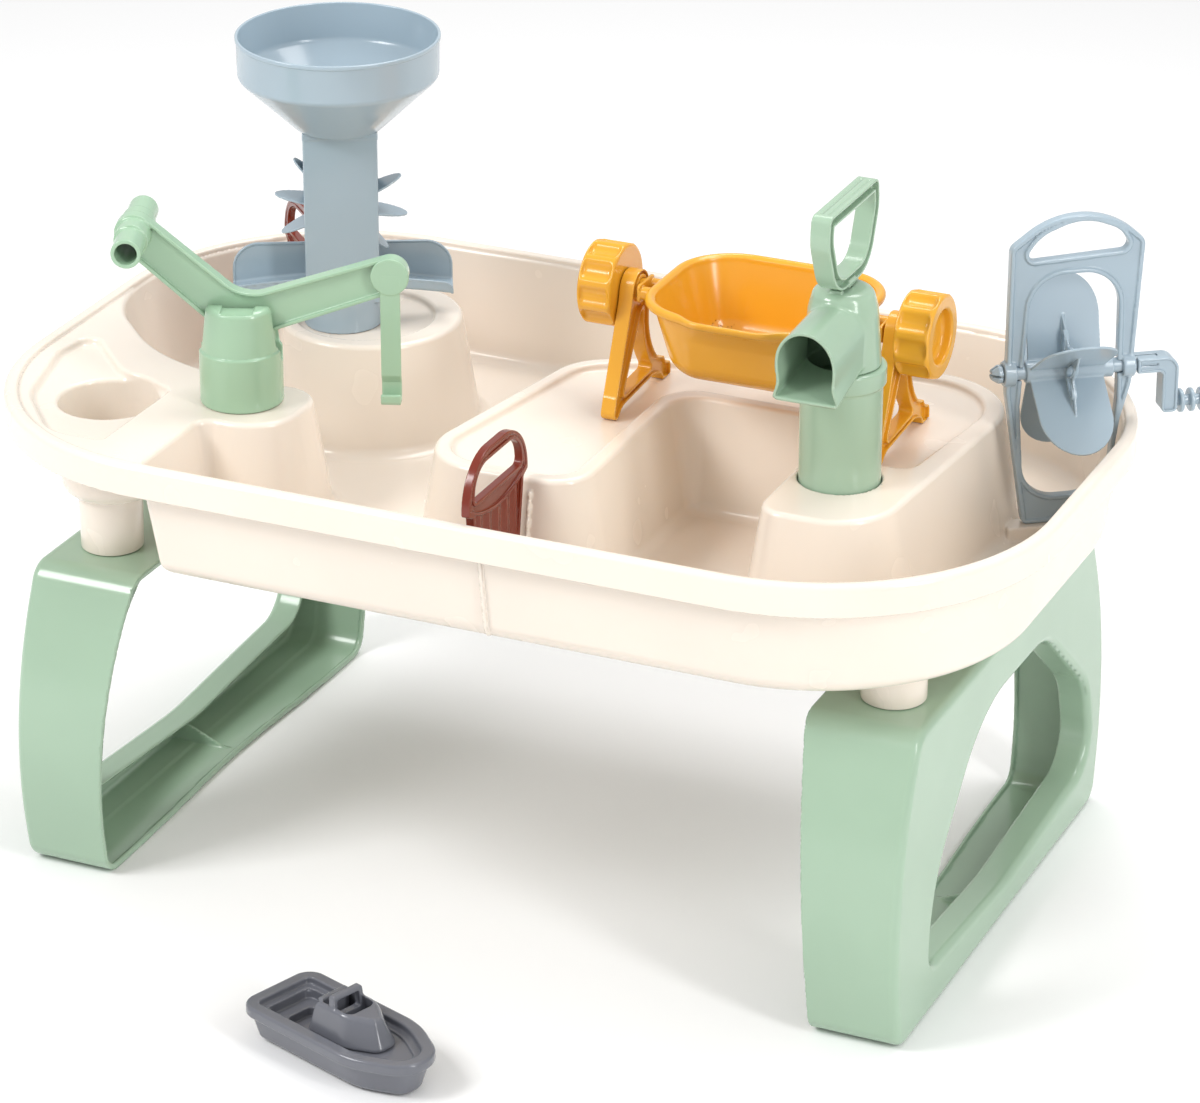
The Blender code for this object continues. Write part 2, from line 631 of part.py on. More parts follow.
def make_pump(palette):
    """Barrel, spouted head, D-handle with its rod, piston, seal and inlet valve."""
    frame = empty("pump_axis", (*PUMP_XY, 0.0))
    barrel = turned([
        (0.0070, PUMP_BASE_Z), (PUMP_RADIUS - 0.002, PUMP_BASE_Z), (PUMP_RADIUS, PUMP_BASE_Z + 0.002),
        (PUMP_RADIUS, 0.4160), (0.0306, 0.4165), (0.0306, 0.4290), (PUMP_RADIUS, 0.4300),
        (PUMP_RADIUS - PUMP_WALL, 0.4300), (PUMP_RADIUS - PUMP_WALL, PUMP_BASE_Z + 0.0025),
        (0.0070, PUMP_BASE_Z + 0.0025),
    ], 32)
    finish(barrel, "pump_barrel", palette["sage"], frame)

    seat = PUMP_RADIUS - PUMP_WALL - GAP
    head = turned([
        (seat - 0.0020, 0.4180), (seat, 0.4180), (seat, 0.4300 + GAP), (0.0268, 0.4300 + GAP),
        (0.0235, 0.4700), (0.0205, 0.4810), (0.0150, PUMP_HEAD_Z), (0.0052, PUMP_HEAD_Z),
        (0.0052, PUMP_HEAD_Z - 0.0022), (0.0140, PUMP_HEAD_Z - 0.0024), (0.0188, 0.4788),
        (0.0215, 0.4690), (0.0240, 0.4325),
    ], 32)
    spout = spout_solid(0.0)
    bore = spout_solid(0.0020)
    room = turned([(0, 0.42), (0.0237, 0.4330), (0.0212, 0.4690), (0.0186, 0.4785), (0.0138, 0.4830),
                   (0, 0.4830)], 32)
    cut(spout, room)
    join(head, spout)
    cut(head, bore)
    finish(head, "pump_head", palette["sage"], frame)

    travel = empty("pump_rod_axis", (0, 0, 0.0))
    travel.parent = frame
    rod = disc(0.0048, 0.3680, 0.4905, 20)
    loop = prism(outline(PUMP_GRIP), -0.0095, 0.0095, ALONG_X)
    cut(loop, prism(outline(PUMP_GRIP, 0.0060), -0.02, 0.02, ALONG_X))
    join(rod, loop, prism(rectangle(0.0080, 0.0060), 0.4865, 0.4920))
    finish(rod, "pump_handle", palette["sage"], travel)

    piston = turned([
        (0.0052, 0.3690), (0.0215, 0.3690), (0.0248, 0.3700), (0.0248, 0.3720), (0.0222, 0.3722),
        (0.0222, 0.3758), (0.0248, 0.3760), (0.0248, 0.3790), (0.0052, 0.3790),
    ], 28)
    finish(piston, "pump_piston", palette["grey"], travel)
    seal = turned([(0.0226, 0.3726), (0.0255, 0.3726), (0.0255, 0.3754), (0.0226, 0.3754)], 28)
    finish(seal, "piston_seal", palette["rubber"], travel)
    valve = turned([(0, PUMP_BASE_Z + 0.0028), (0.0125, PUMP_BASE_Z + 0.0028),
                    (0.0125, PUMP_BASE_Z + 0.0045), (0, PUMP_BASE_Z + 0.0045)], 28)
    finish(valve, "inlet_valve", palette["rubber"], frame)


def spout_solid(inset):
    """The arched spout: flat below, round above, from inside the head out to the mouth."""
    points = []
    half, straight = 0.0215 - inset, 0.022
    for k in range(11):
        a = math.pi * k / 10
        points.append((half * math.cos(a), straight + half * math.sin(a)))
    points.append((-half, inset))
    points.append((half, inset))
    length = 0.068 if inset == 0 else 0.075
    lean = Matrix.Translation((0, 0, 0.4300 + GAP + 0.0057)) @ Matrix.Rotation(math.radians(10), 4, "X")
    return prism(points, 0.0, length, lean @ ALONG_Y)


# ---------------------------------------------------------------- tipping bucket
def make_bucket(palette):
    """Bucket with its axle stubs, two knobs and two stands."""
    frame = empty("bucket_axis", (BUCKET_X, AXLE_Y, AXLE_Z))
    floor = -AXLE_Z + BUCKET_FLOOR_Z
    rim = -AXLE_Z + BUCKET_RIM_Z
    body = rounded(BUCKET_HALF_X - 0.004, BUCKET_HALF_Y - 0.004, 0.034)
    lip = bucket_lip()
    bucket = loft([(floor, outline(body, 0.020)), (floor + 0.006, outline(body, 0.0155)),
                   (rim - 0.001, outline(body, 0.0))])
    join(bucket, prism(outline(rounded(BUCKET_HALF_X, BUCKET_HALF_Y, 0.038)), rim - 0.005, rim), lip)
    cut(bucket, loft([(floor + 0.002, outline(body, 0.0205)), (floor + 0.008, outline(body, 0.0165)),
                      (rim + 0.004, outline(body, 0.0012))]),
        bucket_lip(0.0025))
    for side in (-1, 1):
        for reach in (-AXLE_ROD_Y, AXLE_ROD_Y):
            place = Matrix.Translation((0, reach, 0)) @ ALONG_X
            ends = sorted((side * (BUCKET_HALF_X - 0.008), side * (STAND_X - 0.0075)))
            join(bucket, disc(0.0048, *ends, 16, place))
        ends = sorted((side * (STAND_X - 0.0095), side * (KNOB_X + 0.006)))
        join(bucket, disc(0.0070, *ends, 20, ALONG_X))
        web = sorted((side * (STAND_X - 0.0095), side * (STAND_X - 0.0070)))
        join(bucket, prism(rectangle(0.0135, 0.0068), *web, ALONG_X))
    cut(bucket, loft([(floor + 0.020, outline(body, 0.0135)), (rim + 0.004, outline(body, 0.0012))]))
    finish(bucket, "bucket", palette["ochre"], frame)

    for name, side in (("bucket_knob_left", -1), ("bucket_knob_right", 1)):
        knob = prism(lobed(KNOB_RADIUS, 0.0028, 10), -KNOB_THICK / 2, KNOB_THICK / 2)
        cut(knob, disc(0.0170, KNOB_THICK / 2 - 0.008, KNOB_THICK, 28),
            disc(0.0073, -KNOB_THICK, 0.0065, 20))
        knob.data.transform(Matrix.Scale(side, 4, (0, 0, 1)))
        if side < 0:
            knob.data.flip_normals()
        knob.data.transform(Matrix.Translation((side * KNOB_X, 0, 0)) @ ALONG_X)
        finish(knob, name, palette["ochre"], frame)

    for name, side in (("bucket_stand_left", -1), ("bucket_stand_right", 1)):
        stand = stand_solid()
        stand.data.transform(Matrix.Translation((BUCKET_X + side * STAND_X, AXLE_Y, 0)))
        finish(stand, name, palette["ochre"])


def bucket_lip(inset=0.0):
    """The pouring lip: a shallow wedge bulging from the front of the rim."""
    rim = -AXLE_Z + BUCKET_RIM_Z
    front = -BUCKET_HALF_Y
    top = [(-0.045 + inset, front + 0.012), (-0.030 + inset, front - 0.011 + inset),
           (0.030 - inset, front - 0.011 + inset), (0.045 - inset, front + 0.012)]
    low = [(-0.036 + inset, front + 0.016), (-0.024 + inset, front + 0.002 + inset),
           (0.024 - inset, front + 0.002 + inset), (0.036 - inset, front + 0.016)]
    lift = 0.006 if inset else 0.0
    return loft([(rim - 0.016 + inset, low), (rim - 0.0004 + lift, top)])


def lobed(radius, depth, lobes, steps=6):
    """A fluted outline."""
    points = []
    for k in range(lobes * steps):
        a = 2 * math.pi * k / (lobes * steps)
        r = radius - depth * (0.5 + 0.5 * math.cos(lobes * a)) ** 2
        points.append((r * math.cos(a), r * math.sin(a)))
    return points


def stand_solid():
    """An A-frame of strap section whose fork carries the axle."""
    foot = ISLAND_Z - RECESS + GAP
    half = 0.0055
    stand = prism(bar_outline((-0.0425, foot + 0.005), (-0.003, AXLE_Z), 0.0045, 0.0110), -half,
                  half, ALONG_X)
    join(stand, prism(bar_outline((0.0470, foot + 0.005), (0.003, AXLE_Z), 0.0045, 0.0110), -half,
                      half, ALONG_X))
    join(stand, prism(rectangle(0.034, 0.0028, (0, foot + 0.024)), -half + 0.001, half - 0.001,
                      ALONG_X))
    place = Matrix.Translation((0, 0, AXLE_Z)) @ ALONG_X
    cut(stand, disc(0.0073, -0.02, 0.02, 20, place))
    cut(stand, prism(rectangle(0.07, 0.01, (0, foot - 0.01)), -0.02, 0.02, ALONG_X))
    return stand


# ---------------------------------------------------------------- wheel frame
FRAME_EDGE = [
    (-0.0300, 0.0, 0.004), (0.0220, 0.0, 0.004), (0.0330, 0.0350, 0.020), (0.0385, 0.0755, 0.010),
    (0.0455, 0.1020, 0.030),
    (0.0515, 0.2080, 0.008), (0.0080, 0.2480, 0.060), (-0.0450, 0.2080, 0.008),
    (-0.0455, 0.1000, 0.030),
]
FRAME_ARCH = [
    (-0.0300, 0.0200, 0.026), (0.0300, 0.0200, 0.028), (0.0355, 0.0900, 0.060),
    (0.0340, 0.1870, 0.026), (-0.0290, 0.1870, 0.026), (-0.0350, 0.0900, 0.060),
]
FRAME_GRIP = [
    (-0.0370, 0.1975, 0.005), (0.0430, 0.2020, 0.005), (0.0330, 0.2175, 0.020), (0.0060, 0.2280, 0.040),
    (-0.0240, 0.2160, 0.030),
]


def make_wheel_frame(palette):
    """Lift-out frame with a five-bladed paddle wheel and its crank."""
    frame = empty("wheel_frame_axis", (*FRAME_FOOT, SILL_Z + GAP), FRAME_TURN)
    centre = Matrix.Translation((FRAME_MID, 0, 0))
    half = FRAME_THICK / 2
    plate = prism(outline(FRAME_EDGE), -half, half, centre @ ALONG_Y)
    cut(plate, prism(outline(FRAME_ARCH), -0.02, 0.02, centre @ ALONG_Y),
        prism(outline(FRAME_GRIP), -0.02, 0.02, centre @ ALONG_Y))
    axle_z = PADDLE_Z - SILL_Z - GAP
    for side in (-1, 1):
        ends = sorted((side * 0.0395, side * 0.0475))
        place = centre @ Matrix.Translation((0, 0, axle_z)) @ ALONG_X
        join(plate, disc(0.0088, *ends, 24, place))
        cut(plate, disc(0.0057, *sorted((side * 0.030, side * 0.060)), 20, place))
    finish(plate, "wheel_frame", palette["blue"], frame)

    axis = empty("paddle_axis", (FRAME_MID, 0, axle_z))
    axis.parent = frame
    wheel = disc(0.0052, -0.0560, 0.0640, 20, ALONG_X)
    join(wheel, disc(0.0078, -0.0315, 0.0315, 24, ALONG_X))
    for k in range(PADDLE_BLADES):
        # local X runs out along the blade, local Y across it
        turn = Matrix.Rotation(PADDLE_PHASE + 2 * math.pi * k / PADDLE_BLADES, 4, "X")
        facing = turn @ Matrix(((0, 1, 0, PADDLE_SHIFT), (-1, 0, 0, 0), (0, 0, 1, 0), (0, 0, 0, 1)))
        join(wheel, prism(blade_outline(0.0060, 0.0400, PADDLE_RADIUS, PADDLE_HALF_WIDTH, 8),
                          -0.0009, 0.0009, facing))
    finish(wheel, "paddle_wheel", palette["blue"], axis)

    crank = prism(rounded_points(0.0075, 0.0048, (0.0, 0.0)), 0.0565, 0.0720, ALONG_X)
    join(crank, prism(rounded_points(0.0075, 0.0205, (0.0, -0.0160)), 0.0715, 0.0790, ALONG_X))
    grip = Matrix.Translation((0, 0, -0.0310)) @ ALONG_X
    join(crank, disc(0.0038, 0.0780, 0.1180, 16, grip))
    for k in range(5):
        start = 0.0815 + k * 0.0078
        join(crank, disc(0.0085, start, start + 0.0032, 20, grip))
    cut(crank, disc(0.0055, 0.05, 0.0645, 20, ALONG_X))
    finish(crank, "paddle_crank", palette["blue"], axis)


def rounded_points(half_x, half_y, centre):
    """A softly rounded bar section."""
    return outline(rounded(half_x, half_y, 0.003, centre), 0, 3)


# ---------------------------------------------------------------- gates
GATE_EDGE = [
    (-0.0262, 0.0, 0.008), (0.0262, 0.0, 0.008), (0.0400, 0.0870, 0.002), (0.0465, 0.0900, 0.002),
    (0.0465, 0.1130, 0.014), (0.0300, 0.1290, 0.014), (-0.0300, 0.1290, 0.014),
    (-0.0465, 0.1130, 0.014), (-0.0465, 0.0900, 0.002), (-0.0400, 0.0870, 0.002),
]
GATE_GRIP = [(-0.0360, 0.0965, 0.004), (0.0360, 0.0965, 0.004), (0.0180, 0.1205, 0.016),
             (-0.0180, 0.1205, 0.016)]


def make_gate(name, place, turn, palette):
    """A sluice gate drawn across the canal, with a leaf-shaped grip and corrugations."""
    frame = empty(name + "_axis", place, turn)
    half = GATE_THICK / 2
    gate = prism(outline(GATE_EDGE, 0, 4), -half, half, ALONG_Y)
    cut(gate, prism(outline(GATE_GRIP, 0, 4), -0.02, 0.02, ALONG_Y))
    for side in (-1, 1):
        for x in (-0.0210, -0.0070, 0.0070, 0.0210):
            panel = prism(rectangle(0.0050, 0.0370, (x, 0.0440)), *sorted((side * 0.0012, side * 0.01)),
                          ALONG_Y)
            cut(gate, panel)
    return finish(gate, name, palette["terracotta"], frame)


def make_gates(palette):
    """One gate by the front of the island, one beside the mill."""
    middle = (-0.1425 + -0.233) / 2
    make_gate("gate_front", (GATE_FRONT_X, middle, FLOOR_Z + GAP), math.pi / 2, palette)
    outer = Vector((-0.2175, 0.068)) + 0.165 * Vector((math.cos(GATE_BACK_TURN), math.sin(GATE_BACK_TURN)))
    inner = Vector(MILL_CENTRE) + MILL_RADIUS * Vector((math.cos(GATE_BACK_TURN),
                                                        math.sin(GATE_BACK_TURN)))
    place = (outer + inner) / 2
    make_gate("gate_back", (place.x, place.y, FLOOR_Z + GAP), GATE_BACK_TURN, palette)


# ---------------------------------------------------------------- boat
BOAT_HALF_LENGTH = 0.0735
BOAT_HALF_BEAM = 0.0335


def boat_outline(inset, half_length=BOAT_HALF_LENGTH, half_beam=BOAT_HALF_BEAM, steps=10):
    """A square stern with rounded corners, near-straight sides and a blunt round bow."""
    beam = half_beam - inset
    bow = half_length - inset
    stern = -half_length + inset
    corner = 0.25 * beam
    points = []
    for k in range(5):
        a = math.pi + math.pi / 2 * k / 4
        points.append((stern + corner + corner * math.cos(a), -beam + corner + corner * math.sin(a)))
    for k in range(2 * steps + 1):
        a = -math.pi / 2 + math.pi * k / (2 * steps)
        points.append((bow * math.cos(a) ** 0.85, beam * math.copysign(abs(math.sin(a)) ** 0.8, a)))
    for k in range(5):
        a = math.pi / 2 + math.pi / 2 * k / 4
        points.append((stern + corner + corner * math.cos(a), beam - corner + corner * math.sin(a)))
    return points


def make_boat(palette):
    """A small hull with a snap-in cabin."""
    frame = empty("boat_axis", (*BOAT_XY, 0.0), BOAT_TURN)
    hull = loft([(GAP, boat_outline(0.011)), (0.006, boat_outline(0.0075)),
                 (0.0215, boat_outline(0.0035))])
    join(hull, loft([(0.0205, boat_outline(0.0005)), (0.0270, boat_outline(0.0)),
                     (0.0290, boat_outline(0.0020))]))
    cut(hull, prism(boat_outline(0.0095), 0.0225, 0.04),
        prism(outline(rounded(0.0175, 0.0160, 0.004, (-0.038, 0.0))), 0.0100, 0.03))
    finish(hull, "boat_hull", palette["grey"], frame)

    foot = 0.0225 + GAP
    aft = Matrix.Translation((0.010, 0, 0))
    cabin = loft([(foot, boat_outline(0.0, 0.030, 0.0205)), (0.0440, boat_outline(0.0055, 0.030, 0.0205)),
                  (0.0455, boat_outline(0.008, 0.030, 0.0205))], to_world=aft)
    cut(cabin, prism(outline(rounded(0.0130, 0.0115, 0.003, (-0.004, 0.0))), foot + 0.003, 0.06))
    screen = prism(outline(rounded(0.0030, 0.0135, 0.002, (-0.0020, 0.0))), foot + 0.002, 0.0530)
    cut(screen, prism(rectangle(0.02, 0.0100, (-0.002, 0)), 0.0395, 0.0495))
    join(cabin, screen)
    finish(cabin, "boat_cabin", palette["grey"], frame)


# ---------------------------------------------------------------- build
def stand_over_origin():
    """Shift everything so that the origin is on the floor under the middle of the whole box."""
    loose = [made for made in bpy.data.objects if made.parent is None]
    middle = empty("box_middle", (-BOX_MIDDLE[0], -BOX_MIDDLE[1], 0.0))
    for made in loose:
        made.parent = middle


def main():
    """Clear the scene and make every piece."""
    for old in list(bpy.data.objects):
        bpy.data.objects.remove(old)
    palette = make_palette()
    make_tray(palette)
    make_leg("leg_left", -1, palette)
    make_leg("leg_right", 1, palette)
    make_tower(palette)
    make_crane(palette)
    make_pump(palette)
    make_bucket(palette)
    make_wheel_frame(palette)
    make_gates(palette)
    make_boat(palette)
    stand_over_origin()


main()
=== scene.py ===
"""Looks of the sand and water table.

Every moulding is described as a distance: a function that is negative inside the plastic, zero on
its skin and positive outside.  Such distances blend with true round fillets, as a moulded part
has, and one offset turns a block into a sheet of even thickness.  skin() walks a grid over the
distance, makes a mesh of its zero surface and settles each point onto it.

Lengths are metres.  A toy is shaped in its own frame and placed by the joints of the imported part.
"""
import itertools
import json
import math

import bpy
import numpy as np
from mathutils import Matrix, Vector


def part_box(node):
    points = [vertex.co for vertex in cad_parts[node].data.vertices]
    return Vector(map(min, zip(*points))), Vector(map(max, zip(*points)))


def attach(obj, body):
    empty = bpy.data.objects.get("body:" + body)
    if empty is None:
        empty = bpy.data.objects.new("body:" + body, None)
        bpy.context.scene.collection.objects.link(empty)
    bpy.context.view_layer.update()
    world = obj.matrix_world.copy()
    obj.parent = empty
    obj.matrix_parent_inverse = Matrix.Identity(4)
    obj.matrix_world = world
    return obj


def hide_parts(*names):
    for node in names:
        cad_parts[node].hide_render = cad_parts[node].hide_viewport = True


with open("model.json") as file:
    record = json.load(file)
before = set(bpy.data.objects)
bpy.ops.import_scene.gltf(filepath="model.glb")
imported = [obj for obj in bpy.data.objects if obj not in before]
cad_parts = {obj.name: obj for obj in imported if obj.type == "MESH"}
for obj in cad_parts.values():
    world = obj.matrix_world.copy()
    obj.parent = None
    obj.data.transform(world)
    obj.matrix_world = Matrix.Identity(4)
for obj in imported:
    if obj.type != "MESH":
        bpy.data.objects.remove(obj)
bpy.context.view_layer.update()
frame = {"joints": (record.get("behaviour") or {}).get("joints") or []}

# the tray's middle, on the floor: every place below is measured from here
TABLE_MIDDLE = sum(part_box("tray"), Vector()) / 2
TABLE_MIDDLE.z = 0.0
TABLE = Matrix.Translation(TABLE_MIDDLE)


def table_box(node):
    """The two corners of a CAD node's box, from the tray's middle."""
    return [corner - TABLE_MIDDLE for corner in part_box(node)]


# ---------------------------------------------------------------- driving sizes, mostly the CAD part's
GAP = 0.0003
WALL = 0.0038  # a little more than the CAD's, so that the grid resolves both faces
DRAFT = 0.165
DRAFT_SCALE = 0.987  # makes a drafted wall's value a true distance again
TRAY_LOW, TRAY_HIGH = table_box("tray")
LEG_LOW, LEG_HIGH = table_box("leg_right")
RIM_Z = 0.348
SKIRT_Z = 0.325
BEAD = 0.010
FLOOR_FILLET = 0.009
ISLAND_FILLET = 0.008
EDGE_ROUND = 0.0035
FLOOR_Z = 0.262
ISLAND_Z = 0.345
RECESS = 0.005
RECESS_Z = ISLAND_Z - RECESS
SILL_Z = 0.272
SILL_HALF_LENGTH = 0.042
SILL_HALF_WIDTH = 0.009
TRAY_CORNER = 0.175
MILL_CENTRE = (-0.1976, 0.0853)
MILL_RADIUS = 0.0668
MILL_POOL = (-0.2015, 0.083)
MILL_POOL_RADIUS = 0.052
CUP_CENTRE = (-0.300, -0.127)
CUP_RADIUS = 0.0366
CUP_FLOOR_Z = 0.273
PEG_X = 0.300
PEG_Y = 0.130
PEG_RADIUS = 0.0225
STUB_RADIUS = 0.0175
SPIGOT_RADIUS = 0.011
LEG_TOP_Z = LEG_HIGH.z
LEG_PANEL_X = LEG_HIGH.x
PUMP_BASE_Z = table_box("pump_barrel")[0].z
PUMP_RADIUS = 0.0283

# ---------------------------------------------------------------- where the toys stand
JOINTS = {joint["name"]: joint for joint in frame["joints"]}


def joint_spot(name):
    """A joint's place."""
    return Vector(JOINTS[name]["pos_m"]) - TABLE_MIDDLE


def joint_heading(name, quarter_turns=0):
    """Direction of a joint's axis in plan, less some quarter turns."""
    axis = JOINTS[name]["axis"]
    return math.atan2(axis[1], axis[0]) - quarter_turns * math.pi / 2


def upright(x, y, turn=0.0, z=0.0):
    """A toy's frame: its own X axis heads along turn."""
    return Matrix.Translation((x, y, z)) @ Matrix.Rotation(turn, 4, "Z")


def middle(node):
    """Centre of a CAD node's box."""
    return sum(table_box(node), Vector()) / 2


TOWER_AXIS = joint_spot("tower_turn")
TOWER = upright(TOWER_AXIS.x, TOWER_AXIS.y, joint_heading("mill_wheel_spin", 1))
WHEEL_Z = joint_spot("mill_wheel_spin").z
CRANE_AXIS = joint_spot("crane_turn")
CRANE = upright(CRANE_AXIS.x, CRANE_AXIS.y, joint_heading("arm_rock", 1))
ARM_Z = joint_spot("arm_rock").z
HOOK_SPOT = CRANE.inverted() @ joint_spot("hook_swing")
PUMP_AXIS = joint_spot("pump_turn")
PUMP = upright(PUMP_AXIS.x, PUMP_AXIS.y)
AXLE = joint_spot("bucket_tilt")
BUCKET = upright(AXLE.x, AXLE.y)
PADDLE_SPOT = joint_spot("paddle_spin")
PADDLE = upright(PADDLE_SPOT.x, PADDLE_SPOT.y, joint_heading("paddle_spin"))
GATE_FRONT_SPOT = middle("gate_front")
GATE_FRONT = upright(GATE_FRONT_SPOT.x, GATE_FRONT_SPOT.y, math.pi / 2, FLOOR_Z + GAP)
GATE_BACK_SPOT = middle("gate_back")
GATE_BACK = upright(GATE_BACK_SPOT.x, GATE_BACK_SPOT.y, math.radians(135), FLOOR_Z + GAP)
BOAT_SPOT = middle("boat_hull")
BOAT = upright(BOAT_SPOT.x, BOAT_SPOT.y, joint_heading("boat_glide"))


# ---------------------------------------------------------------- distances
class Outline:
    """Signed distance in a plane to an outline whose corners are (x, y, radius), anticlockwise."""

    def __init__(self, corners):
        points = [Vector(corner[:2]) for corner in corners]
        count = len(points)
        self.arcs = []
        entries, exits = [], []
        for k, corner in enumerate(corners):
            here = points[k]
            d = (here - points[k - 1]).normalized()
            e = (points[(k + 1) % count] - here).normalized()
            half = math.atan2(d.x * e.y - d.y * e.x, d.dot(e)) / 2
            side = 1.0 if half > 0 else -1.0
            radius = max(corner[2], 0.0002)
            reach = radius * abs(math.tan(half))
            start = here - d * reach
            centre = start + Vector((-d.y, d.x)) * radius * side
            self.arcs.append((centre, radius, (here - centre).normalized(), math.cos(half), side))
            entries.append(start)
            exits.append(here + e * reach)
        self.lines = [(exits[k], entries[(k + 1) % count]) for k in range(count)]

    def __call__(self, x, y):
        best = np.full(np.broadcast(x, y).shape, 1e3, np.result_type(x, y))
        for a, b in self.lines:
            d = b - a
            if d.length < 1e-7:
                continue
            d.normalize()
            along = (x - a.x) * d.x + (y - a.y) * d.y
            across = (x - a.x) * d.y - (y - a.y) * d.x
            beyond = along - np.clip(along, 0.0, (b - a).length)
            value = np.copysign(np.hypot(across, beyond), across)
            best = np.where(np.abs(value) < np.abs(best), value, best)
        for centre, radius, way, spread, side in self.arcs:
            u, v = x - centre.x, y - centre.y
            far = np.hypot(u, v)
            value = side * (far - radius)
            facing = u * way.x + v * way.y >= far * spread
            best = np.where(facing & (np.abs(value) < np.abs(best)), value, best)
        return best


def rounded(half_x, half_y, radius, x=0.0, y=0.0):
    """A rectangle with equal corner radii."""
    return Outline([(x - half_x, y - half_y, radius), (x + half_x, y - half_y, radius),
                    (x + half_x, y + half_y, radius), (x - half_x, y + half_y, radius)])


def mirrored(corners):
    """Corners of one half, anticlockwise from below, with their mirror images in the first axis."""
    return corners + [(-x, y, radius) for x, y, radius in reversed(corners)]


def union(a, b, radius=0.0):
    """Both shapes; the inner corner between them gets a fillet of this radius."""
    if radius == 0.0:
        return np.minimum(a, b)
    u = np.maximum(radius - a, 0.0)
    v = np.maximum(radius - b, 0.0)
    return np.maximum(radius, np.minimum(a, b)) - np.sqrt(u * u + v * v)


def both(a, b, radius=0.0):
    """What the shapes share; the outer corner between them is rounded to this radius."""
    return -union(-a, -b, radius)


def minus(a, b, radius=0.0):
    """The first shape without the second."""
    return both(a, -b, radius)


def band(value, low, high):
    """Distance to the slab between two heights."""
    return np.abs(value - (low + high) / 2) - (high - low) / 2


def bar(x, y, start, end, half_start, half_end):
    """Distance in a plane to a bar with two round ends."""
    sx, sy = start
    dx, dy = end[0] - sx, end[1] - sy
    length = math.hypot(dx, dy)
    along = np.clip(((x - sx) * dx + (y - sy) * dy) / length ** 2, 0.0, 1.0)
    half = half_start + along * (half_end - half_start)
    return np.hypot(x - sx - along * dx, y - sy - along * dy) - half


def path(x, y, points):
    """Distance in a plane to a run of straight strokes."""
    strokes = [bar(x, y, a, b, 0.0, 0.0) for a, b in zip(points, points[1:])]
    return np.minimum.reduce(strokes)


def turned_about(x, y, angle):
    """Plane coordinates in a frame turned by an angle."""
    c, s = math.cos(angle), math.sin(angle)
    return x * c + y * s, y * c - x * s


def fan(u, v, count, phase=0.0):
    """Fold a plane into one of count equal sectors: (outwards, sideways)."""
    step = 2 * math.pi / count
    angle = np.arctan2(v, u) - phase
    angle = angle - step * np.round(angle / step)
    far = np.hypot(u, v)
    return far * np.cos(angle), far * np.sin(angle)


# ---------------------------------------------------------------- meshes
SETTLE_SHARE = 0.4
CREASE_COSINE = 0.75
ARC_STEPS = 6


def slope(shape, points, reach=0.00015):
    """Gradient of a distance at some points."""
    total = np.zeros_like(points)
    for way in ((1, -1, -1), (-1, -1, 1), (-1, 1, -1), (1, 1, 1)):
        probe = points + reach * np.array(way)
        total += np.outer(shape(*probe.T), way)
    return total / (4 * reach)


def settle(shape, points, limit, rounds=2):
    """Move points onto the zero surface, each by no more than limit."""
    for _ in range(rounds):
        steep = slope(shape, points)
        size = np.maximum((steep ** 2).sum(1), 0.05)
        move = steep * (shape(*points.T) / size)[:, None]
        far = np.maximum(np.linalg.norm(move, axis=1) / limit, 1.0)
        points = points - move / far[:, None]
    return points


def crossings(value, cells):
    """Mean point, in cells, where the surface crosses the edges of each mixed cell."""
    total = np.zeros((len(cells), 3))
    count = np.zeros(len(cells))
    for axis in range(3):
        for u, v in itertools.product((0, 1), repeat=2):
            offset = np.zeros(3, int)
            offset[(axis + 1) % 3], offset[(axis + 2) % 3] = u, v
            step = np.eye(3, dtype=int)[axis]
            a = value[tuple((cells + offset).T)]
            b = value[tuple((cells + offset + step).T)]
            hit = (a < 0) != (b < 0)
            share = a[hit] / (a[hit] - b[hit])
            total[hit] += offset + share[:, None] * step
            count[hit] += 1
    return cells + total / count[:, None]


def zero_surface(shape, low, high, step):
    """Points and quads of the surface where a distance is zero, inside a box."""
    axes = [np.arange(a - 1.6 * step, b + 2.6 * step, step, np.float32) for a, b in zip(low, high)]
    x, y, z = axes[0][:, None, None], axes[1][None, :, None], axes[2][None, None, :]
    size = tuple(len(axis) for axis in axes)
    value = np.ascontiguousarray(np.broadcast_to(shape(x, y, z), size), dtype=np.float32)
    inside = value < 0
    some = np.zeros([n - 1 for n in size], bool)
    every = np.ones_like(some)
    for i, j, k in itertools.product((0, 1), repeat=3):
        corner = inside[i:size[0] - 1 + i, j:size[1] - 1 + j, k:size[2] - 1 + k]
        some |= corner
        every &= corner
    mixed = some & ~every
    cells = np.argwhere(mixed)
    index = np.full(mixed.shape, -1, np.int64)
    index[mixed] = np.arange(len(cells))
    points = crossings(value, cells) * step + np.array([axis[0] for axis in axes])
    quads = []
    for axis in range(3):
        u, v = np.eye(3, dtype=int)[(axis + 1) % 3], np.eye(3, dtype=int)[(axis + 2) % 3]
        near = np.take(inside, range(size[axis] - 1), axis)
        ahead = np.take(inside, range(1, size[axis]), axis)
        edges = np.argwhere(near != ahead)
        edges = edges[((edges > 0) | (np.arange(3) == axis)).all(1)]
        edges = edges[(edges < np.array(size) - 1).all(1)]
        ring = [index[tuple((edges - a).T)] for a in (u + v, v, 0 * u, u)]
        quad = np.stack(ring, 1)
        outwards = near[tuple(edges.T)]
        quads += [quad[outwards], quad[~outwards][:, ::-1]]
    return points, np.concatenate(quads)


